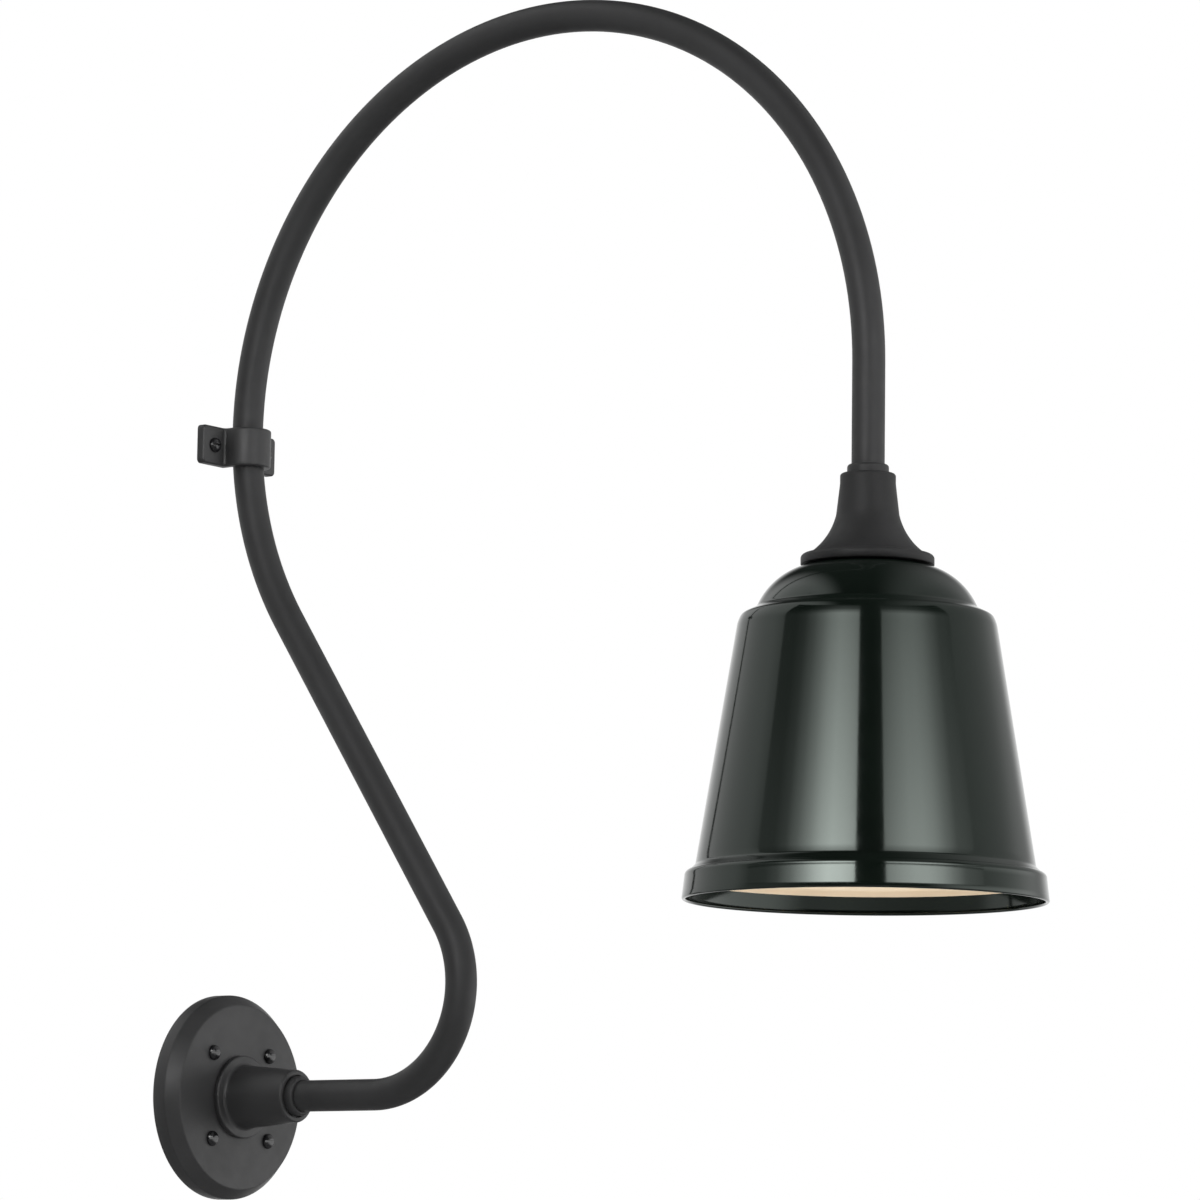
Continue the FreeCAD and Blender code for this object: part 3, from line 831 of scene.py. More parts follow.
@dataclass
class WallPlate:
    """The cast dish on the wall, with its four screws."""

    gasket_t: float = 1.5
    plate_d: float = 140.0
    edge_x: float = 11.5
    slope_w: float = 6.8
    depth: float = 20.0
    wall: float = 3.0
    bore: float = 21.6
    outer_ease: float = 0.9
    back_ease: float = 0.4
    inner_ease: float = 1.6
    screw_spacing: float = 58.4
    boss_d: float = 11.0
    boss_ease: float = 0.6
    ground_boss_d: float = 9.0
    ground_boss_depth: float = 8.0
    ground_offset: float = 42.0
    reach: float = 24.0
    screw: DomeScrew = field(default_factory=DomeScrew)

    def spots(self, height: float) -> list[Matrix]:
        """The four screws' places at a height over the wall."""
        half = self.screw_spacing / 2
        return [Matrix.Translation((-z, y, height)) for y in (-half, half) for z in (-half, half)]

    def boss(self, d: float, length: float) -> Mesh:
        """A round boss that stands back from the face."""
        r = d / 2
        return Outline(0.0, 0.0).to(r, 0.0).to(r, length).to(0.0, length).turn(40, Ring(r, 0.0, self.boss_ease, 3))

    def build_dish(self) -> Mesh:
        """The dish: plain edge, sloped shoulder, flat face and hollow back with its bosses.

        Returns:
            The dish's mesh.
        """
        r, face, bore, half = self.plate_d / 2, self.plate_d / 2 - self.slope_w, self.bore / 2, self.wall / 2
        inner, roof = self.depth - self.wall, self.edge_x - half
        outline = Outline(bore, inner).to(bore, self.depth).to(face, self.depth, 6).to(r, self.edge_x, 2)
        outline.to(r, self.gasket_t, 2).to(r - self.wall, self.gasket_t).to(r - self.wall, roof, 2)
        bm = outline.to(face - half, inner, 2).close().turn(
            160, Ring(face, self.depth, self.outer_ease), Ring(r, self.edge_x, self.outer_ease),
            Ring(r, self.gasket_t, self.back_ease, 3), Ring(r - self.wall, roof, self.inner_ease, 4),
            Ring(face - half, inner, self.inner_ease, 4))
        for spot in self.spots(self.gasket_t):
            merge(bm, self.boss(self.boss_d, self.depth - half - self.gasket_t), spot)
        ground = Matrix.Translation((self.ground_offset, 0.0, inner - self.ground_boss_depth))
        merge(bm, self.boss(self.ground_boss_d, self.ground_boss_depth + half), ground)
        return bm

    def dress(self, finishes: Finishes) -> None:
        """Make the dish and the screws.

        Args:
            finishes: The materials.
        """
        out = Place(Facing.OUT_OF_WALL)
        finish_piece("plate_dish", self.build_dish(), Slot.POWDER_COAT, "wall_plate", finishes, out,
                     finishes.cast_coat)
        bm = bmesh.new()
        for spot in self.spots(self.depth):
            merge(bm, self.screw.mesh(self.depth, self.reach), spot)
        finish_piece("plate_dome_screws", bm, Slot.BLACK_SCREW, "plate_screws", finishes, out)


@dataclass
class ArmHub:
    """The tapered boss that the arm comes out of, with the collar in its nose."""

    bore: float = 21.6
    foot_x: float = 20.0
    flange_r: float = 28.3
    flange_t: float = 3.8
    flange_ease: float = 1.2
    foot_ease: float = 0.3
    root_r: float = 21.7
    root_ease: float = 2.0
    nose_r: float = 17.9
    nose_ease: float = 1.6
    end_x: float = 70.5
    recess_r: float = 14.3
    recess_depth: float = 2.2
    recess_ease: float = 0.4
    collar_r: float = 13.5
    collar_len: float = 5.6
    collar_ease: float = 1.8
    collar_bore_ease: float = 0.25

    def dress(self, finishes: Finishes) -> None:
        """Make the hub and its collar.

        Args:
            finishes: The materials.
        """
        out = Place(Facing.OUT_OF_WALL)
        bore, top, seat = self.bore / 2, self.foot_x + self.flange_t, self.end_x - self.recess_depth
        outline = Outline(bore, self.foot_x).to(self.flange_r, self.foot_x).to(self.flange_r, top)
        outline.to(self.root_r, top).to(self.nose_r, self.end_x, 12).to(self.recess_r, self.end_x)
        bm = outline.to(self.recess_r, seat).to(bore, seat).close().turn(
            128, Ring(self.flange_r, top, self.flange_ease), Ring(self.root_r, top, self.root_ease),
            Ring(self.nose_r, self.end_x, self.nose_ease), Ring(self.recess_r, self.end_x, self.recess_ease, 3),
            Ring(self.flange_r, self.foot_x, self.foot_ease, 2))
        finish_piece("hub_casting", bm, Slot.POWDER_COAT, "arm_hub", finishes, out, finishes.cast_coat)
        end = self.end_x + self.collar_len
        collar = Outline(bore, seat).to(self.collar_r, seat).to(self.collar_r, end, 2).to(bore, end).close()
        bm = collar.turn(96, Ring(self.collar_r, end, self.collar_ease, 6), Ring(bore, end, self.collar_bore_ease, 2))
        finish_piece("hub_ring", bm, Slot.POWDER_COAT, "hub_collar", finishes, out)


@dataclass
class GooseneckArm:
    """The bent tube: out of the wall, back up to it, over in a crook and straight down."""

    outer_r: float = 10.65
    inner_r: float = 8.55
    start_x: float = 9.5
    bend_x: float = 138.0
    bend_r: float = 73.0
    bend_deg: float = 124.0
    back_r: float = 240.0
    crook_r: float = 261.1
    rise_x: float = 12.8
    end_z: float = 368.1
    facets: int = 56

    def slant(self) -> tuple[Vector, float]:
        """The straight run up to the back bend, and the height where the arm stands upright.

        Returns:
            The run's move, and that height.
        """
        turn, lean = math.radians(self.bend_deg), math.radians(self.bend_deg - 90)
        foot_x, foot_z = self.bend_x + self.bend_r * math.sin(turn), self.bend_r * (1 - math.cos(turn))
        back_x = self.rise_x + self.back_r * (1 - math.cos(lean))
        run = Vector((math.cos(turn), 0.0, math.sin(turn))) * ((back_x - foot_x) / math.cos(turn))
        return run, foot_z + run.z + self.back_r * math.sin(lean)

    def rise_z(self) -> float:
        """The height where the arm stands upright at the wall."""
        return self.slant()[1]

    def skin(self, bm: Mesh, r: float) -> tuple[list[Edge], list[Edge]]:
        """Drag a ring along the arm's line.

        Args:
            bm: The mesh to draw in.
            r: Radius of the ring.

        Returns:
            The edges of the first and of the last ring.
        """
        turn = Matrix.Translation((self.start_x, 0.0, 0.0)) @ Matrix.Rotation(math.radians(90), 4, "Y")
        made = bmesh.ops.create_circle(bm, cap_ends=False, radius=r, segments=self.facets, matrix=turn)
        first = list({e for v in made["verts"] for e in v.link_edges})
        slant, rise_z = self.slant()
        ring = self.straight(bm, first, Vector((self.bend_x - self.start_x, 0.0, 0.0)), 12)
        ring = self.bend(bm, ring, (self.bend_x, 0.0, self.bend_r), -self.bend_deg, 50)
        ring = self.straight(bm, ring, slant, 20)
        ring = self.bend(bm, ring, (self.rise_x + self.back_r, 0.0, rise_z), self.bend_deg - 90, 24)
        ring = self.bend(bm, ring, (self.rise_x + self.crook_r, 0.0, rise_z), 180.0, 110)
        return first, self.straight(bm, ring, Vector((0.0, 0.0, self.end_z - rise_z)), 8)

    @staticmethod
    def straight(bm: Mesh, ring: list[Edge], move: Vector, steps: int) -> list[Edge]:
        """Extrude a ring along a straight run.

        Args:
            bm: The mesh.
            ring: The ring's edges.
            move: The whole run.
            steps: How many lengths it has.

        Returns:
            The last ring's edges.
        """
        for _ in range(steps):
            made = bmesh.ops.extrude_edge_only(bm, edges=ring)["geom"]
            bmesh.ops.translate(bm, verts=[g for g in made if isinstance(g, Vert)], vec=move / steps)
            ring = [g for g in made if isinstance(g, Edge)]
        return ring

    @staticmethod
    def bend(bm: Mesh, ring: list[Edge], centre: Sequence[float], degrees: float, steps: int) -> list[Edge]:
        """Spin a ring round a bend.

        Args:
            bm: The mesh.
            ring: The ring's edges.
            centre: The bend's centre.
            degrees: How far it turns about +Y.
            steps: How many lengths it has.

        Returns:
            The last ring's edges.
        """
        made = spin(bm, ring, math.radians(degrees), steps, centre, (0.0, 1.0, 0.0))
        return [g for g in made if isinstance(g, Edge)]

    def dress(self, finishes: Finishes) -> None:
        """Make the tube.

        Args:
            finishes: The materials.
        """
        bm = bmesh.new()
        for outer, inner in zip(self.skin(bm, self.outer_r), self.skin(bm, self.inner_r)):
            bmesh.ops.bridge_loops(bm, edges=outer + inner)
        clean(bm)
        finish_piece("arm_tube", bm, Slot.POWDER_COAT, "gooseneck_arm", finishes)


@dataclass
class WallClamp:
    """The saddle strap that holds the arm to the wall, with its two screws."""

    z: float = 451.5
    half_w: float = 38.5
    ear_t: float = 6.0
    h: float = 27.0
    saddle_r: float = 10.8
    band_wall: float = 5.6
    rise_x: float = 12.8
    corner_r: float = 3.0
    crotch_r: float = 1.6
    edge_ease: float = 1.92
    edge_deg: float = 50.0
    screw_y: float = 27.0
    reach: float = 6.7
    layers: int = 6
    arm: GooseneckArm = field(default_factory=GooseneckArm)
    screw: DomeScrew = field(default_factory=DomeScrew)

    def arm_shift(self, z: float) -> float:
        """How far the bent arm stands out of its upright line at a height."""
        drop = max(0.0, self.arm.rise_z() - z)
        return self.arm.back_r - math.sqrt(self.arm.back_r ** 2 - drop ** 2)

    def on_saddle(self, p: Vector) -> bool:
        """Whether a point lies in the saddle that the arm sits in."""
        return math.hypot(max(0.0, p.x - self.rise_x), p.y) < self.saddle_r + 5 * NEAR

    def at_corner(self, edge: Edge) -> bool:
        """Whether an edge runs from back to front at a corner of an ear.

        Args:
            edge: The edge.

        Returns:
            True where the corner is rounded.
        """
        a, b = (v.co for v in edge.verts)
        tips = all(abs(abs(p.y) - self.half_w) < NEAR and abs(abs(p.z - self.z) - self.h / 2) < NEAR for p in (a, b))
        return tips and abs(a.z - b.z) < NEAR and a.y * b.y > 0

    def at_crotch(self, edge: Edge) -> bool:
        """Whether an edge lies where an ear meets the band."""
        band = self.saddle_r + self.band_wall
        return all(abs(v.co.x - self.ear_t) < NEAR and abs(abs(v.co.y) - band) < NEAR for v in edge.verts)

    def at_front(self, edge: Edge) -> bool:
        """Whether an edge bounds the strap's front.

        Args:
            edge: The edge.

        Returns:
            True where the edge is eased.
        """
        if len(edge.link_faces) != 2 or min(v.co.x for v in edge.verts) < NEAR:
            return False
        turns = edge.calc_face_angle(0.0) >= math.radians(self.edge_deg)
        return turns and not all(self.on_saddle(v.co) for v in edge.verts)

    def section(self, bm: Mesh) -> None:
        """Draw the strap's section: two ears and a band round the arm.

        Args:
            bm: The mesh to draw in.
        """
        band = self.saddle_r + self.band_wall
        start = bm.verts.new((0.0, -self.half_w, 0.0))
        pen = self.strokes(bm, start, (self.ear_t, -self.half_w), (self.ear_t, -band), (self.rise_x, -band))
        pen = self.sweep(bm, pen, 180.0)
        pen = self.strokes(bm, pen, (self.ear_t, band), (self.ear_t, self.half_w), (0.0, self.half_w),
                           (0.0, self.saddle_r), (self.rise_x, self.saddle_r))
        pen = self.strokes(bm, self.sweep(bm, pen, -180.0), (0.0, -self.saddle_r))
        bm.edges.new((pen, start))

    def build_strap(self) -> Mesh:
        """Raise the section to the strap, ease its edges and fit its saddle to the bent arm.

        Returns:
            The strap's mesh.
        """
        bm = bmesh.new()
        self.section(bm)
        face = bmesh.ops.contextual_create(bm, geom=bm.edges[:])["faces"]
        bmesh.ops.translate(bm, verts=bm.verts[:], vec=(0.0, 0.0, self.z - self.h / 2))
        for layer in range(self.layers):
            made = bmesh.ops.extrude_face_region(bm, geom=face)["geom"]
            if layer:
                bmesh.ops.delete(bm, geom=face, context="FACES_ONLY")
            face = [g for g in made if isinstance(g, bmesh.types.BMFace)]
            rise = (0.0, 0.0, self.h / self.layers)
            bmesh.ops.translate(bm, verts=[g for g in made if isinstance(g, Vert)], vec=rise)
        clean(bm)
        ease(bm, self.at_corner, self.corner_r, 6)
        ease(bm, self.at_crotch, self.crotch_r)
        ease(bm, self.at_front, self.edge_ease, clamp=True)
        for v in bm.verts:
            if v.co.x > self.rise_x + NEAR and self.on_saddle(v.co):
                v.co.x += self.arm_shift(v.co.z)
        clean(bm)
        return bm

    @staticmethod
    def strokes(bm: Mesh, pen: Vert, *points: Point) -> Vert:
        """Draw straight runs of the section.

        Args:
            bm: The mesh.
            pen: Where they start.
            points: X and Y of their ends.

        Returns:
            The last end.
        """
        for x, y in points:
            pen = bmesh.ops.extrude_vert_indiv(bm, verts=[pen])["verts"][0]
            bmesh.ops.translate(bm, verts=[pen], vec=Vector((x, y, 0.0)) - pen.co)
        return pen

    def sweep(self, bm: Mesh, pen: Vert, degrees: float) -> Vert:
        """Draw an arc of the section round the arm.

        Args:
            bm: The mesh.
            pen: Where it starts.
            degrees: How far it turns.

        Returns:
            Its end.
        """
        made = spin(bm, [pen], math.radians(degrees), 36, (self.rise_x, 0.0, 0.0))
        return next(g for g in made if isinstance(g, Vert))

    def dress(self, finishes: Finishes) -> None:
        """Make the strap and its screws.

        Args:
            finishes: The materials.
        """
        finish_piece("clamp_saddle", self.build_strap(), Slot.POWDER_COAT, "clamp_strap", finishes,
                     material=finishes.cast_coat)
        bm = bmesh.new()
        for y in (-self.screw_y, self.screw_y):
            merge(bm, self.screw.mesh(self.ear_t, self.reach), Matrix.Translation((-self.z, y, self.ear_t)))
        finish_piece("clamp_dome_screws", bm, Slot.BLACK_SCREW, "clamp_screws", finishes, Place(Facing.OUT_OF_WALL))


@dataclass
class Neck:
    """The trumpet casting between the arm and the shade, and the ring on its top."""

    drop_x: float = 535.0
    seat_z: float = 330.5
    seat_r: float = 28.0
    hole_r: float = 6.65
    flange_r: float = 42.7
    flange_t: float = 6.8
    flange_ease: float = 2.6
    flange_break: float = 0.5
    ledge_r: float = 38.0
    ledge_ease: float = 0.5
    waist_r: float = 20.2
    waist_z: float = 363.1
    flare_bulge: float = 2.96
    barrel_r: float = 17.85
    barrel_z: float = 383.1
    barrel_ease: float = 1.8
    top_z: float = 389.7
    bore_r: float = 10.8
    bore_depth: float = 21.6
    collar_r: float = 13.4
    collar_h: float = 5.9
    collar_ease: float = 2.0

    def dress(self, finishes: Finishes) -> None:
        """Make the casting and the ring.

        Args:
            finishes: The materials.
        """
        plumb = Place(x=self.drop_x)
        top, stop = self.seat_z + self.flange_t, self.top_z - self.bore_depth
        outline = Outline(self.hole_r, self.seat_z).to(self.seat_r, self.seat_z)
        outline.to(self.flange_r - self.flange_break, self.seat_z).to(self.flange_r, self.seat_z + self.flange_break)
        outline.to(self.flange_r, top).to(self.ledge_r, top).bulge(self.waist_r, self.waist_z, self.flare_bulge, 26)
        outline.to(self.barrel_r, self.barrel_z, 5).to(self.barrel_r, self.top_z, 2).to(self.bore_r, self.top_z)
        bm = outline.to(self.bore_r, stop).to(self.hole_r, stop).close().turn(
            144, Ring(self.flange_r, top, self.flange_ease, 7), Ring(self.barrel_r, self.top_z, self.barrel_ease, 6),
            Ring(self.ledge_r, top, self.ledge_ease, 3))
        # The neck wears the darker coat, whose tone is painted shade.
        finish_piece("neck_trumpet", bm, Slot.POWDER_COAT, "shade_neck", finishes, plumb, finishes.dull_shaded_coat,
                     sharp=50.0)
        end = self.top_z + self.collar_h
        ring = Outline(self.bore_r, self.top_z).to(self.collar_r, self.top_z).to(self.collar_r, end, 2)
        bm = ring.to(self.bore_r, end).close().turn(96, Ring(self.collar_r, end, self.collar_ease, 6))
        finish_piece("neck_ring", bm, Slot.POWDER_COAT, "neck_collar", finishes, plumb)


@dataclass
class Shade:
    """The spun shade: dark green outside and round the mouth, cream inside."""

    drop_x: float = 535.0
    seat_z: float = 330.5
    wall: float = 1.2
    hole_r: float = 7.2
    crown_r: float = 35.3
    dome_out: float = 35.4
    dome_drop: float = 28.0
    dome_bulge: float = 6.1
    dome_ease: float = 1.0
    ledge_out: float = 9.5
    ledge_drop: float = 4.6
    ledge_ease: float = 1.3
    shoulder_out: float = 2.95
    shoulder_drop: float = 8.8
    shoulder_bulge: float = 0.5
    skirt_out: float = 24.6
    skirt_len: float = 151.0
    skirt_ease: float = 0.9
    step_out: float = 3.65
    step_drop: float = 3.4
    lip_out: float = 3.2
    lip_drop: float = 4.0
    lip_bulge: float = 1.03
    rim_out: float = 1.6
    rim_h: float = 14.9
    hem_r: float = 1.3
    band_h: float = 11.5

    def corners(self) -> list[Point]:
        """Radius and height where the dome, ledge, shoulder, skirt, step, lip and rim end.

        Returns:
            The seven points, downwards.
        """
        steps = (
            (self.dome_out, self.dome_drop), (self.ledge_out, self.ledge_drop),
            (self.shoulder_out, self.shoulder_drop), (self.skirt_out, self.skirt_len),
            (self.step_out, self.step_drop), (self.lip_out, self.lip_drop), (self.rim_out, self.rim_h),
        )
        return [(self.crown_r + sum(out for out, _ in steps[:n]), self.seat_z - sum(drop for _, drop in steps[:n]))
                for n in range(1, len(steps) + 1)]

    def spun(self) -> Mesh:
        """The outer skin, from the hole in the crown down to the rolled hem.

        Returns:
            The open skin's mesh.
        """
        dome, ledge, shoulder, skirt, step, lip, (rim, foot) = self.corners()
        line = Outline(self.hole_r, self.seat_z).to(self.crown_r, self.seat_z, 3)
        line.bulge(*dome, self.dome_bulge, 26).to(*ledge, 2).bulge(*shoulder, self.shoulder_bulge, 5)
        line.to(*skirt, 30).to(*step, 2).bulge(*lip, self.lip_bulge, 8).to(rim, foot + self.hem_r, 5)
        line.bulge(rim - 2 * self.hem_r, foot + self.hem_r, self.hem_r, 12)
        return line.turn(224, Ring(*dome, self.dome_ease, 4), Ring(*ledge, self.ledge_ease, 5),
                         Ring(*skirt, self.skirt_ease, 4))

    def lined(self, face: bmesh.types.BMFace, foot: float) -> bool:
        """Whether a face is inside the shade and above the green band at its mouth.

        Args:
            face: The face.
            foot: Height of the shade's lowest point.

        Returns:
            True where the cream enamel goes.
        """
        middle, normal = face.calc_center_median(), face.normal
        inward = normal.x * middle.x + normal.y * middle.y < -1e-6
        under_crown = normal.z < -0.9 and middle.z > self.seat_z - 2 * self.wall
        return (inward or under_crown) and middle.z > foot + self.band_h

    def dress(self, finishes: Finishes) -> None:
        """Make the shade with its two enamels.

        Args:
            finishes: The materials.
        """
        bm = self.spun()
        crown = Vector((0.0, 0.0, self.seat_z))
        if sum((f.calc_center_median() - crown).dot(f.normal) for f in bm.faces) < 0:
            bmesh.ops.reverse_faces(bm, faces=bm.faces[:])
        bmesh.ops.solidify(bm, geom=bm.faces[:], thickness=self.wall)
        bm.normal_update()
        foot = min(v.co.z for v in bm.verts)
        for face in bm.faces:
            face.material_index = int(self.lined(face, foot))
        plumb = Place(x=self.drop_x)
        piece = finish_piece("shade_bell", bm, Slot.SHADE_ENAMEL, "shade", finishes, plumb, sharp=24.0)
        piece.data.materials.append(finishes.cream)


@dataclass
class LampHolder:
    """The porcelain lamp holder with its pressed cap and screw shell."""

    drop_x: float = 535.0
    top_z: float = 310.95
    mouth_z: float = 253.95
    cap_r: float = 21.0
    cap_wall: float = 1.2
    cap_shoulder_w: float = 9.0
    cap_shoulder_h: float = 4.5
    cap_h: float = 15.0
    cap_ease: float = 0.9
    cap_foot_ease: float = 0.3
    hole_r: float = 6.65
    wire_hole_r: float = 2.25
    neck_gap: float = 0.6
    neck_len: float = 9.0
    body_r: float = 19.5
    body_ease: float = 1.0
    lip_r: float = 21.5
    lip_h: float = 5.0
    lip_slope: float = 2.0
    lip_ease: float = 1.4
    bore_r: float = 13.85
    bore_ease: float = 0.8
    shell_depth: float = 27.0
    shell_r: float = 13.7
    shell_root_r: float = 13.25
    shell_wall: float = 0.25

    def dress(self, finishes: Finishes) -> None:
        """Make the cap, the porcelain and the shell.

        Args:
            finishes: The materials.
        """
        plumb = Place(x=self.drop_x)
        w, crown = self.cap_wall, self.cap_r - self.cap_shoulder_w
        top = self.top_z + w
        low, foot = top - self.cap_shoulder_h, top - self.cap_h
        cap = Outline(self.hole_r, top - w).to(self.hole_r, top).to(crown, top).to(self.cap_r, low)
        cap.to(self.cap_r, foot, 3).to(self.cap_r - w, foot).to(self.cap_r - w, low - w / 2)
        bm = cap.to(crown - w / 2, top - w).close().turn(
            96, Ring(crown, top, self.cap_ease, 4), Ring(self.cap_r, low, self.cap_ease, 4),
            Ring(self.cap_r, foot, self.cap_foot_ease, 3))
        finish_piece("holder_cap", bm, Slot.CAP_METAL, "socket_cap", finishes, plumb)

        neck, step = self.cap_r - w - self.neck_gap, low - w - self.neck_len
        shell_top, lip_top = self.mouth_z + self.shell_depth, self.mouth_z + self.lip_h
        slope = lip_top + self.lip_slope
        body = Outline(self.wire_hole_r, self.top_z).to(crown - 2 * w, self.top_z).to(neck, low - w).to(neck, step)
        body.to(self.body_r, step).to(self.body_r, slope, 4).to(self.lip_r, lip_top)
        body.to(self.lip_r, self.mouth_z).to(self.bore_r, self.mouth_z).to(self.bore_r, shell_top)
        bm = body.to(self.wire_hole_r, shell_top).close().turn(
            112, Ring(self.lip_r, self.mouth_z, self.lip_ease), Ring(self.lip_r, lip_top, self.body_ease, 4),
            Ring(self.body_r, slope, self.body_ease, 4), Ring(self.bore_r, self.mouth_z, self.bore_ease, 4))
        finish_piece("holder_porcelain", bm, Slot.PORCELAIN, "lamp_socket", finishes, plumb)

        low_end = self.mouth_z + self.lip_h / 2
        bm = Thread(self.shell_r, self.shell_root_r, SCREW_PITCH, low_end, shell_top, 64, True).mesh()
        bmesh.ops.solidify(bm, geom=bm.faces[:], thickness=self.shell_wall)
        bmesh.ops.recalc_face_normals(bm, faces=bm.faces[:])
        finish_piece("holder_shell", bm, Slot.BRASS, "screw_shell", finishes, plumb)


@dataclass
class Bulb:
    """The bulb: opal glass, rolled screw cap, black insulator and soldered contact."""

    drop_x: float = 535.0
    seat_z: float = 279.65
    contact_r: float = 4.5
    contact_len: float = 1.6
    contact_bulge: float = 0.7
    insulator_r: float = 8.0
    insulator_len: float = 3.2
    insulator_bulge: float = 0.6
    base_r: float = 13.0
    root_r: float = 12.35
    root_lap: float = 0.2
    base_len: float = 19.0
    shoulder_r: float = 10.0
    shoulder_len: float = 2.6
    skirt_len: float = 3.4
    skirt_wall: float = 0.5
    skirt_draft: float = 0.15
    glass_lap: float = 6.0
    neck_bulge: float = 1.6
    bowl_r: float = 30.0
    bowl_deg: float = 40.0
    glass_len: float = 79.0

    def dress(self, finishes: Finishes) -> None:
        """Make the bulb's four pieces.

        Args:
            finishes: The materials.
        """
        plumb = Place(x=self.drop_x)
        under = self.seat_z - self.contact_len
        top = under - self.insulator_len
        shoulder = top - self.shoulder_len
        foot = shoulder - self.base_len
        skirt = foot - self.skirt_len
        r, lap = self.base_r, self.skirt_wall

        bm = Thread(r, self.root_r, SCREW_PITCH, foot, shoulder, 64, True).mesh()
        merge(bm, Outline(0.0, top).to(self.shoulder_r, top).to(self.root_r + self.root_lap, shoulder, 3).turn(64))
        collar = Outline(self.root_r, foot).to(r - self.skirt_draft, foot - lap).to(r, skirt, 2).to(r - lap, skirt)
        merge(bm, collar.to(r - lap, foot).close().turn(64))
        finish_piece("bulb_screw_cap", bm, Slot.BASE_METAL, "bulb_base", finishes, plumb, body=Body.BULB)

        bowl_z, tilt = skirt - self.glass_len + self.bowl_r, math.radians(self.bowl_deg)
        glass = Outline(self.root_r, foot + self.glass_lap).to(self.root_r, skirt, 3)
        glass.bulge(self.bowl_r * math.cos(tilt), bowl_z + self.bowl_r * math.sin(tilt), -self.neck_bulge, 14)
        glass.bulge(self.bowl_r, bowl_z, self.bowl_r * (1 - math.cos(tilt / 2)), 8)
        glass.bulge(0.0, bowl_z - self.bowl_r, self.bowl_r * (1 - math.cos(EIGHTH)), 18)
        finish_piece("bulb_envelope", glass.turn(96), Slot.BULB_GLASS, "bulb_glass", finishes, plumb,
                     body=Body.BULB, sharp=60.0)

        black = Outline(0.0, top).to(self.insulator_r, top)
        black.bulge(self.contact_r, under, -self.insulator_bulge, 4).to(0.0, under).close()
        finish_piece("bulb_insulator_ring", black.turn(48), Slot.BLACK_GLASS, "bulb_insulator", finishes, plumb,
                     body=Body.BULB)
        bead = Outline(0.0, under).to(self.contact_r, under).bulge(0.0, self.seat_z, -self.contact_bulge, 8).close()
        finish_piece("bulb_solder", bead.turn(40), Slot.TIN, "bulb_contact", finishes, plumb, body=Body.BULB)


# ---- studio


@dataclass(frozen=True)
class Panel:
    """A curved light panel that stands round the shade and shows only in gloss.

    Angles are seen from above about the shade, from the direction of the camera, negative to its left.
    across holds pairs of an angle's size in degrees and the panel's strength there.
    """

    name: str
    side: int
    across: tuple[Point, ...]


@dataclass(frozen=True)
class Lamp:
    """A soft square lamp that lights the matte side of things only.

    azimuth is in degrees from the camera's direction, seen from above, elevation over the fixture's middle,
    size in metres and power in watts.
    """

    name: str
    azimuth: float
    elevation: float
    size: float
    power: float


class Glow(Nodes):
    """The light of one panel, which fades outwards and upwards."""

    def __init__(self, spec: Panel, facing: float, upward: Sequence[Point]) -> None:
        """Build the panel's material.

        Args:
            spec: The panel.
            facing: The angle that its own angles start from.
            upward: Pairs of a height and the strength there.
        """
        self.material = bpy.data.materials.new(spec.name)
        super().__init__(self.material)
        place = self.node("TexCoord", {}, "Object")
        x, y, z = (self.node("SeparateXYZ", {"Vector": place}, axis) for axis in "XYZ")
        turned = self.compute("SUBTRACT", self.compute("ARCTAN2", y, x), facing)
        away = self.compute("MULTIPLY", turned, spec.side * math.degrees(1.0))
        strength = self.compute("MULTIPLY", self.curve(away, spec.across), self.curve(z, upward))
        surface = self.tree.nodes.new("ShaderNodeOutputMaterial").inputs["Surface"]
        self.put(surface, self.node("Emission", {"Strength": strength}))

    def curve(self, value: Socket, points: Sequence[Point]) -> Socket:
        """Look a value up on a line through points.

        Args:
            value: Where to look.
            points: Pairs of a place and the result there.

        Returns:
            The result.
        """
        low, high = points[0][0], points[-1][0]
        peak = max(strength for _, strength in points)
        ramp = self.node("ValToRGB", {"Fac": self.compute("DIVIDE", self.compute("SUBTRACT", value, low), high - low)})
        stops = ramp.node.color_ramp.elements
        for n, (at, strength) in enumerate(points):
            stop = stops[n] if n < 2 else stops.new((at - low) / (high - low))
            stop.position = (at - low) / (high - low)
            stop.color = (strength / peak,) * 3 + (1.0,)
        return self.compute("MULTIPLY", ramp, peak)


class Sky(Nodes):
    """The world's nodes."""

    def white(self, strength: float) -> Socket:
        """Plain white light of a strength."""
        return self.node("Background", {"Color": (1.0, 1.0, 1.0, 1.0), "Strength": strength})

    def split(self, way: Vector, span: Point, a: Socket, b: Socket) -> Socket:
        """Two lights that pass from one to the other along a direction.

        Args:
            way: The direction.
            span: The shares of it where the first light ends and where the second one is full.
            a: The first light.
            b: The second light.

        Returns:
            The light all round.
        """
        seen = self.node("TexCoord", {}, "Generated")
        share = self.node("VectorMath", {0: seen, 1: way}, "Value", operation="DOT_PRODUCT")
        inputs = {"Value": share, "From Min": span[0], "From Max": span[1]}
        return self.mix(self.node("MapRange", inputs, interpolation_type="SMOOTHSTEP"), a, b)


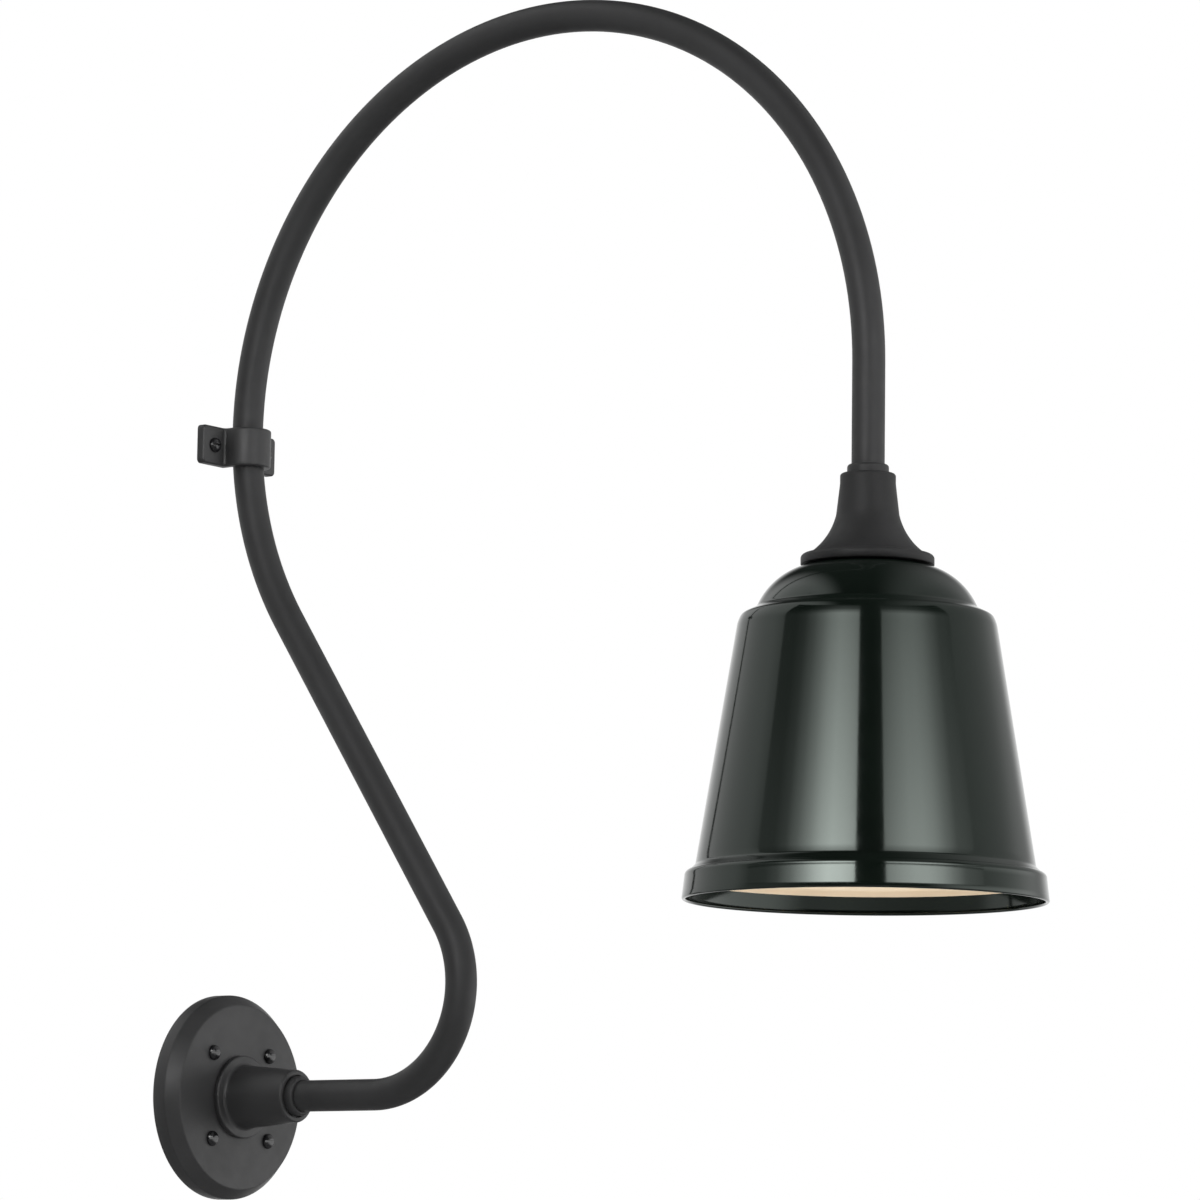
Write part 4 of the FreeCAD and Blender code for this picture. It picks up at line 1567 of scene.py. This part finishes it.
@dataclass(frozen=True)
class Room:
    """What the fixture's gloss sees all round it.

    The first seven fields are strengths of plain white light, pairs of them from left to right as the camera
    looks at the fixture. The others say over which share of a direction one light passes into the next.
    """

    plain: float = 0.42
    front: Point = (0.36, 0.60)
    back: Point = (0.85, 0.62)
    horizon: float = 1.75
    above: float = 0.03
    above_sides: Point = (1.10, 0.55)
    below: float = 0.22
    front_turn: Point = (-0.5, 0.5)
    dark_side: Point = (0.50, 0.86)
    dark_top: Point = (-0.16, -0.06)
    back_turn: Point = (0.0, 0.5)
    back_side: Point = (-0.25, 0.05)
    white_side: Point = (0.80, 0.95)
    horizon_side: Point = (0.6, 0.95)
    horizon_top: Point = (0.10, 0.28)
    above_left: Point = (0.30, 0.6)
    above_right: Point = (0.05, 0.6)
    above_foot: Point = (0.22, 0.55)
    below_top: Point = (0.22, 0.6)

    def light(self, facing: float) -> None:
        """Build the world: white behind the object, a dim room in front of it, soft light all round.

        Args:
            facing: The camera's direction, as an angle from +X seen from above.
        """
        world = bpy.data.worlds.new("studio")
        bpy.context.scene.world = world
        sky = Sky(world)
        near = Vector((math.cos(facing), math.sin(facing), 0.0))
        right, up = Vector((-near.y, near.x, 0.0)), Vector(UP)
        front = sky.split(right, self.front_turn, *map(sky.white, self.front))
        dark = sky.split(near, self.dark_side, front, sky.white(0.0))
        front = sky.split(up, self.dark_top, front, dark)
        back = sky.split(right, self.back_turn, *map(sky.white, self.back))
        gloss = sky.split(-near, self.back_side, front, back)
        gloss = sky.split(-near, self.white_side, gloss, sky.white(1.0))
        bright = sky.split(right, self.horizon_side, gloss, sky.white(self.horizon))
        gloss = sky.split(up, self.horizon_top, bright, gloss)
        aloft = sky.split(-right, self.above_left, sky.white(self.above), sky.white(self.above_sides[0]))
        aloft = sky.split(right, self.above_right, aloft, sky.white(self.above_sides[1]))
        gloss = sky.split(up, self.above_foot, gloss, aloft)
        gloss = sky.split(-up, self.below_top, gloss, sky.white(self.below))
        shown = sky.mix(sky.node("LightPath", {}, "Is Glossy Ray"), sky.white(self.plain), gloss)
        for ray in ("Is Camera Ray", "Is Transmission Ray"):
            shown = sky.mix(sky.node("LightPath", {}, ray), shown, sky.white(1.0))
        sky.put(sky.tree.nodes.new("ShaderNodeOutputWorld").inputs["Surface"], shown)


@dataclass
class Studio:
    """The floor, the lights, the world and the camera."""

    shade_x: float = 0.535
    floor_z: float = -2.2
    floor_r: float = 15.0
    floor_white: float = 0.65
    camera_at: Colour = (2.38735, -2.76108, -0.14552)
    camera_right: Colour = (0.80183, 0.597407, 0.013184)
    camera_up: Colour = (0.070047, -0.115881, 0.99079)
    camera_forward: Colour = (-0.593433, 0.793521, 0.134763)
    clip: Point = (0.05, 60.0)
    focal_px: float = 5261.85
    image_px: float = 1200.0
    sensor_mm: float = 36.0
    panel_r: float = 1.6
    panels: tuple[Panel, ...] = (
        Panel("panel_left", -1, ((6.5, 5.0), (15, 6.3), (23, 6.8), (31, 5.3), (39, 3.0), (47, 1.45), (56, 0.50),
                                 (65, 0.24), (78, 0.22))),
        Panel("panel_right", 1, ((12.5, 2.3), (23, 3.3), (31, 3.9), (40, 3.8), (48, 3.0), (56, 1.75), (65, 0.75),
                                 (78, 0.45))),
    )
    upward: tuple[Point, ...] = ((0.44, 0.0), (0.50, 1.95), (0.66, 1.8), (0.78, 1.38), (0.86, 1.03),
                                 (0.97, 0.70), (1.05, 0.48), (1.15, 0.30), (1.3, 0.14), (1.9, 0.04))
    lamps: tuple[Lamp, ...] = (
        Lamp("key_right", 86.0, 34.0, 1.6, 60.0), Lamp("fill_left", -62.0, 42.0, 1.6, 36.0),
        Lamp("fill_below", 14.0, -52.0, 1.4, 31.2),
    )
    lamp_away: float = 2.4
    lamp_target: Colour = (0.27, 0.0, 0.33)
    room: Room = field(default_factory=Room)

    def facing(self) -> float:
        """The camera's direction from the shade, as an angle from +X seen from above."""
        return math.atan2(self.camera_at[1], self.camera_at[0] - self.shade_x)

    def camera(self) -> None:
        """Place the camera as the photograph's."""
        data = bpy.data.cameras.new("camera")
        data.sensor_width = self.sensor_mm
        data.lens = self.focal_px / self.image_px * self.sensor_mm
        data.clip_start, data.clip_end = self.clip
        camera = bpy.data.objects.new("camera", data)
        axes = Matrix((self.camera_right, self.camera_up, tuple(-c for c in self.camera_forward))).transposed()
        camera.matrix_world = Matrix.Translation(self.camera_at) @ axes.to_4x4()
        bpy.context.scene.collection.objects.link(camera)
        bpy.context.scene.camera = camera

    @staticmethod
    def stand(name: str, bm: Mesh, material: Material) -> bpy.types.Object:
        """Put up a piece of the stage.

        Args:
            name: Its name.
            bm: Its mesh, which is used up.
            material: Its material.

        Returns:
            The new object.
        """
        mesh = bpy.data.meshes.new(name)
        bm.to_mesh(mesh)
        bm.free()
        mesh.materials.append(material)
        thing = bpy.data.objects.new(name, mesh)
        bpy.context.scene.collection.objects.link(thing)
        return thing

    def floor(self) -> None:
        """Lay a plain pale floor well below the fixture."""
        bm = bmesh.new()
        bmesh.ops.create_circle(bm, cap_ends=True, cap_tris=False, segments=128, radius=self.floor_r)
        bmesh.ops.translate(bm, verts=bm.verts[:], vec=(self.shade_x, 0.0, self.floor_z))
        shade = Shader("floor_pale")
        colour = shade.tone(shade.noise(Grain(600.0)), (0.86, 0.86, 0.86), (0.90, 0.90, 0.90))
        material = shade.feed(Base_Color=colour, Roughness=0.9).whiten(self.floor_white).material
        self.stand("floor", bm, material).visible_glossy = False

    def panel(self, spec: Panel) -> None:
        """Stand one curved panel.

        Args:
            spec: Its angles and strength.
        """
        start = self.facing() + spec.side * math.radians(spec.across[0][0])
        sweep = spec.side * math.radians(spec.across[-1][0] - spec.across[0][0])
        low, high = self.upward[0][0], self.upward[-1][0]
        bm = bmesh.new()
        foot = bm.verts.new((self.panel_r * math.cos(start), self.panel_r * math.sin(start), low))
        rise = bmesh.ops.extrude_vert_indiv(bm, verts=[foot])
        bmesh.ops.translate(bm, verts=rise["verts"], vec=(0.0, 0.0, high - low))
        spin(bm, [foot, *rise["verts"], *rise["edges"]], sweep, 24)
        panel = self.stand(spec.name, bm, Glow(spec, self.facing(), self.upward).material)
        panel.location = (self.shade_x, 0.0, 0.0)
        panel.visible_camera = panel.visible_diffuse = panel.visible_shadow = False
        panel.visible_transmission = False

    def lamp(self, spec: Lamp) -> None:
        """Hang one lamp.

        Args:
            spec: Its direction, size and power.
        """
        data = bpy.data.lights.new(spec.name, "AREA")
        data.shape, data.size, data.energy = "SQUARE", spec.size, spec.power
        lamp = bpy.data.objects.new(spec.name, data)
        turn, lift = self.facing() + math.radians(spec.azimuth), math.radians(spec.elevation)
        away = Vector((math.cos(turn) * math.cos(lift), math.sin(turn) * math.cos(lift), math.sin(lift)))
        lamp.location = Vector(self.lamp_target) + away * self.lamp_away
        lamp.rotation_mode = "QUATERNION"
        lamp.rotation_quaternion = away.to_track_quat("Z", "Y")
        lamp.visible_glossy = False
        bpy.context.scene.collection.objects.link(lamp)

    def dress(self) -> None:
        """Build the whole studio."""
        self.room.light(self.facing())
        self.floor()
        self.camera()
        for panel in self.panels:
            self.panel(panel)
        for lamp in self.lamps:
            self.lamp(lamp)
        bpy.context.scene.view_settings.view_transform = "Standard"


# ---- scene


CARRIED_OVER: dict[str, Slot] = {
    "plate_gasket": Slot.GASKET,
    "ground_screw": Slot.EARTH_GREEN,
    "hub_locknut": Slot.ZINC,
    "shade_seal": Slot.GASKET,
    "shade_washer": Slot.ZINC,
    "shade_locknut": Slot.ZINC,
    "socket_nipple": Slot.ZINC,
    "socket_contact": Slot.BRASS,
}


def main() -> None:
    """Load the frame, build and dress every sub-assembly, and light the scene."""
    logging.basicConfig(level=logging.INFO, format="%(name)s: %(message)s")
    for thing in list(bpy.data.objects):
        bpy.data.objects.remove(thing)
    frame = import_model()
    finishes = Finishes()
    for node, slot in CARRIED_OVER.items():
        for place in frame["nodes"][node].material_slots:
            place.material = finishes[slot]
        LOG.info("%s: carried over with %s", node, slot.value)
    for part in (WallPlate(), ArmHub(), GooseneckArm(), WallClamp(), Neck(), Shade(), LampHolder(), Bulb()):
        part.dress(finishes)
    Studio().dress()


if __name__ == "__main__":
    main()
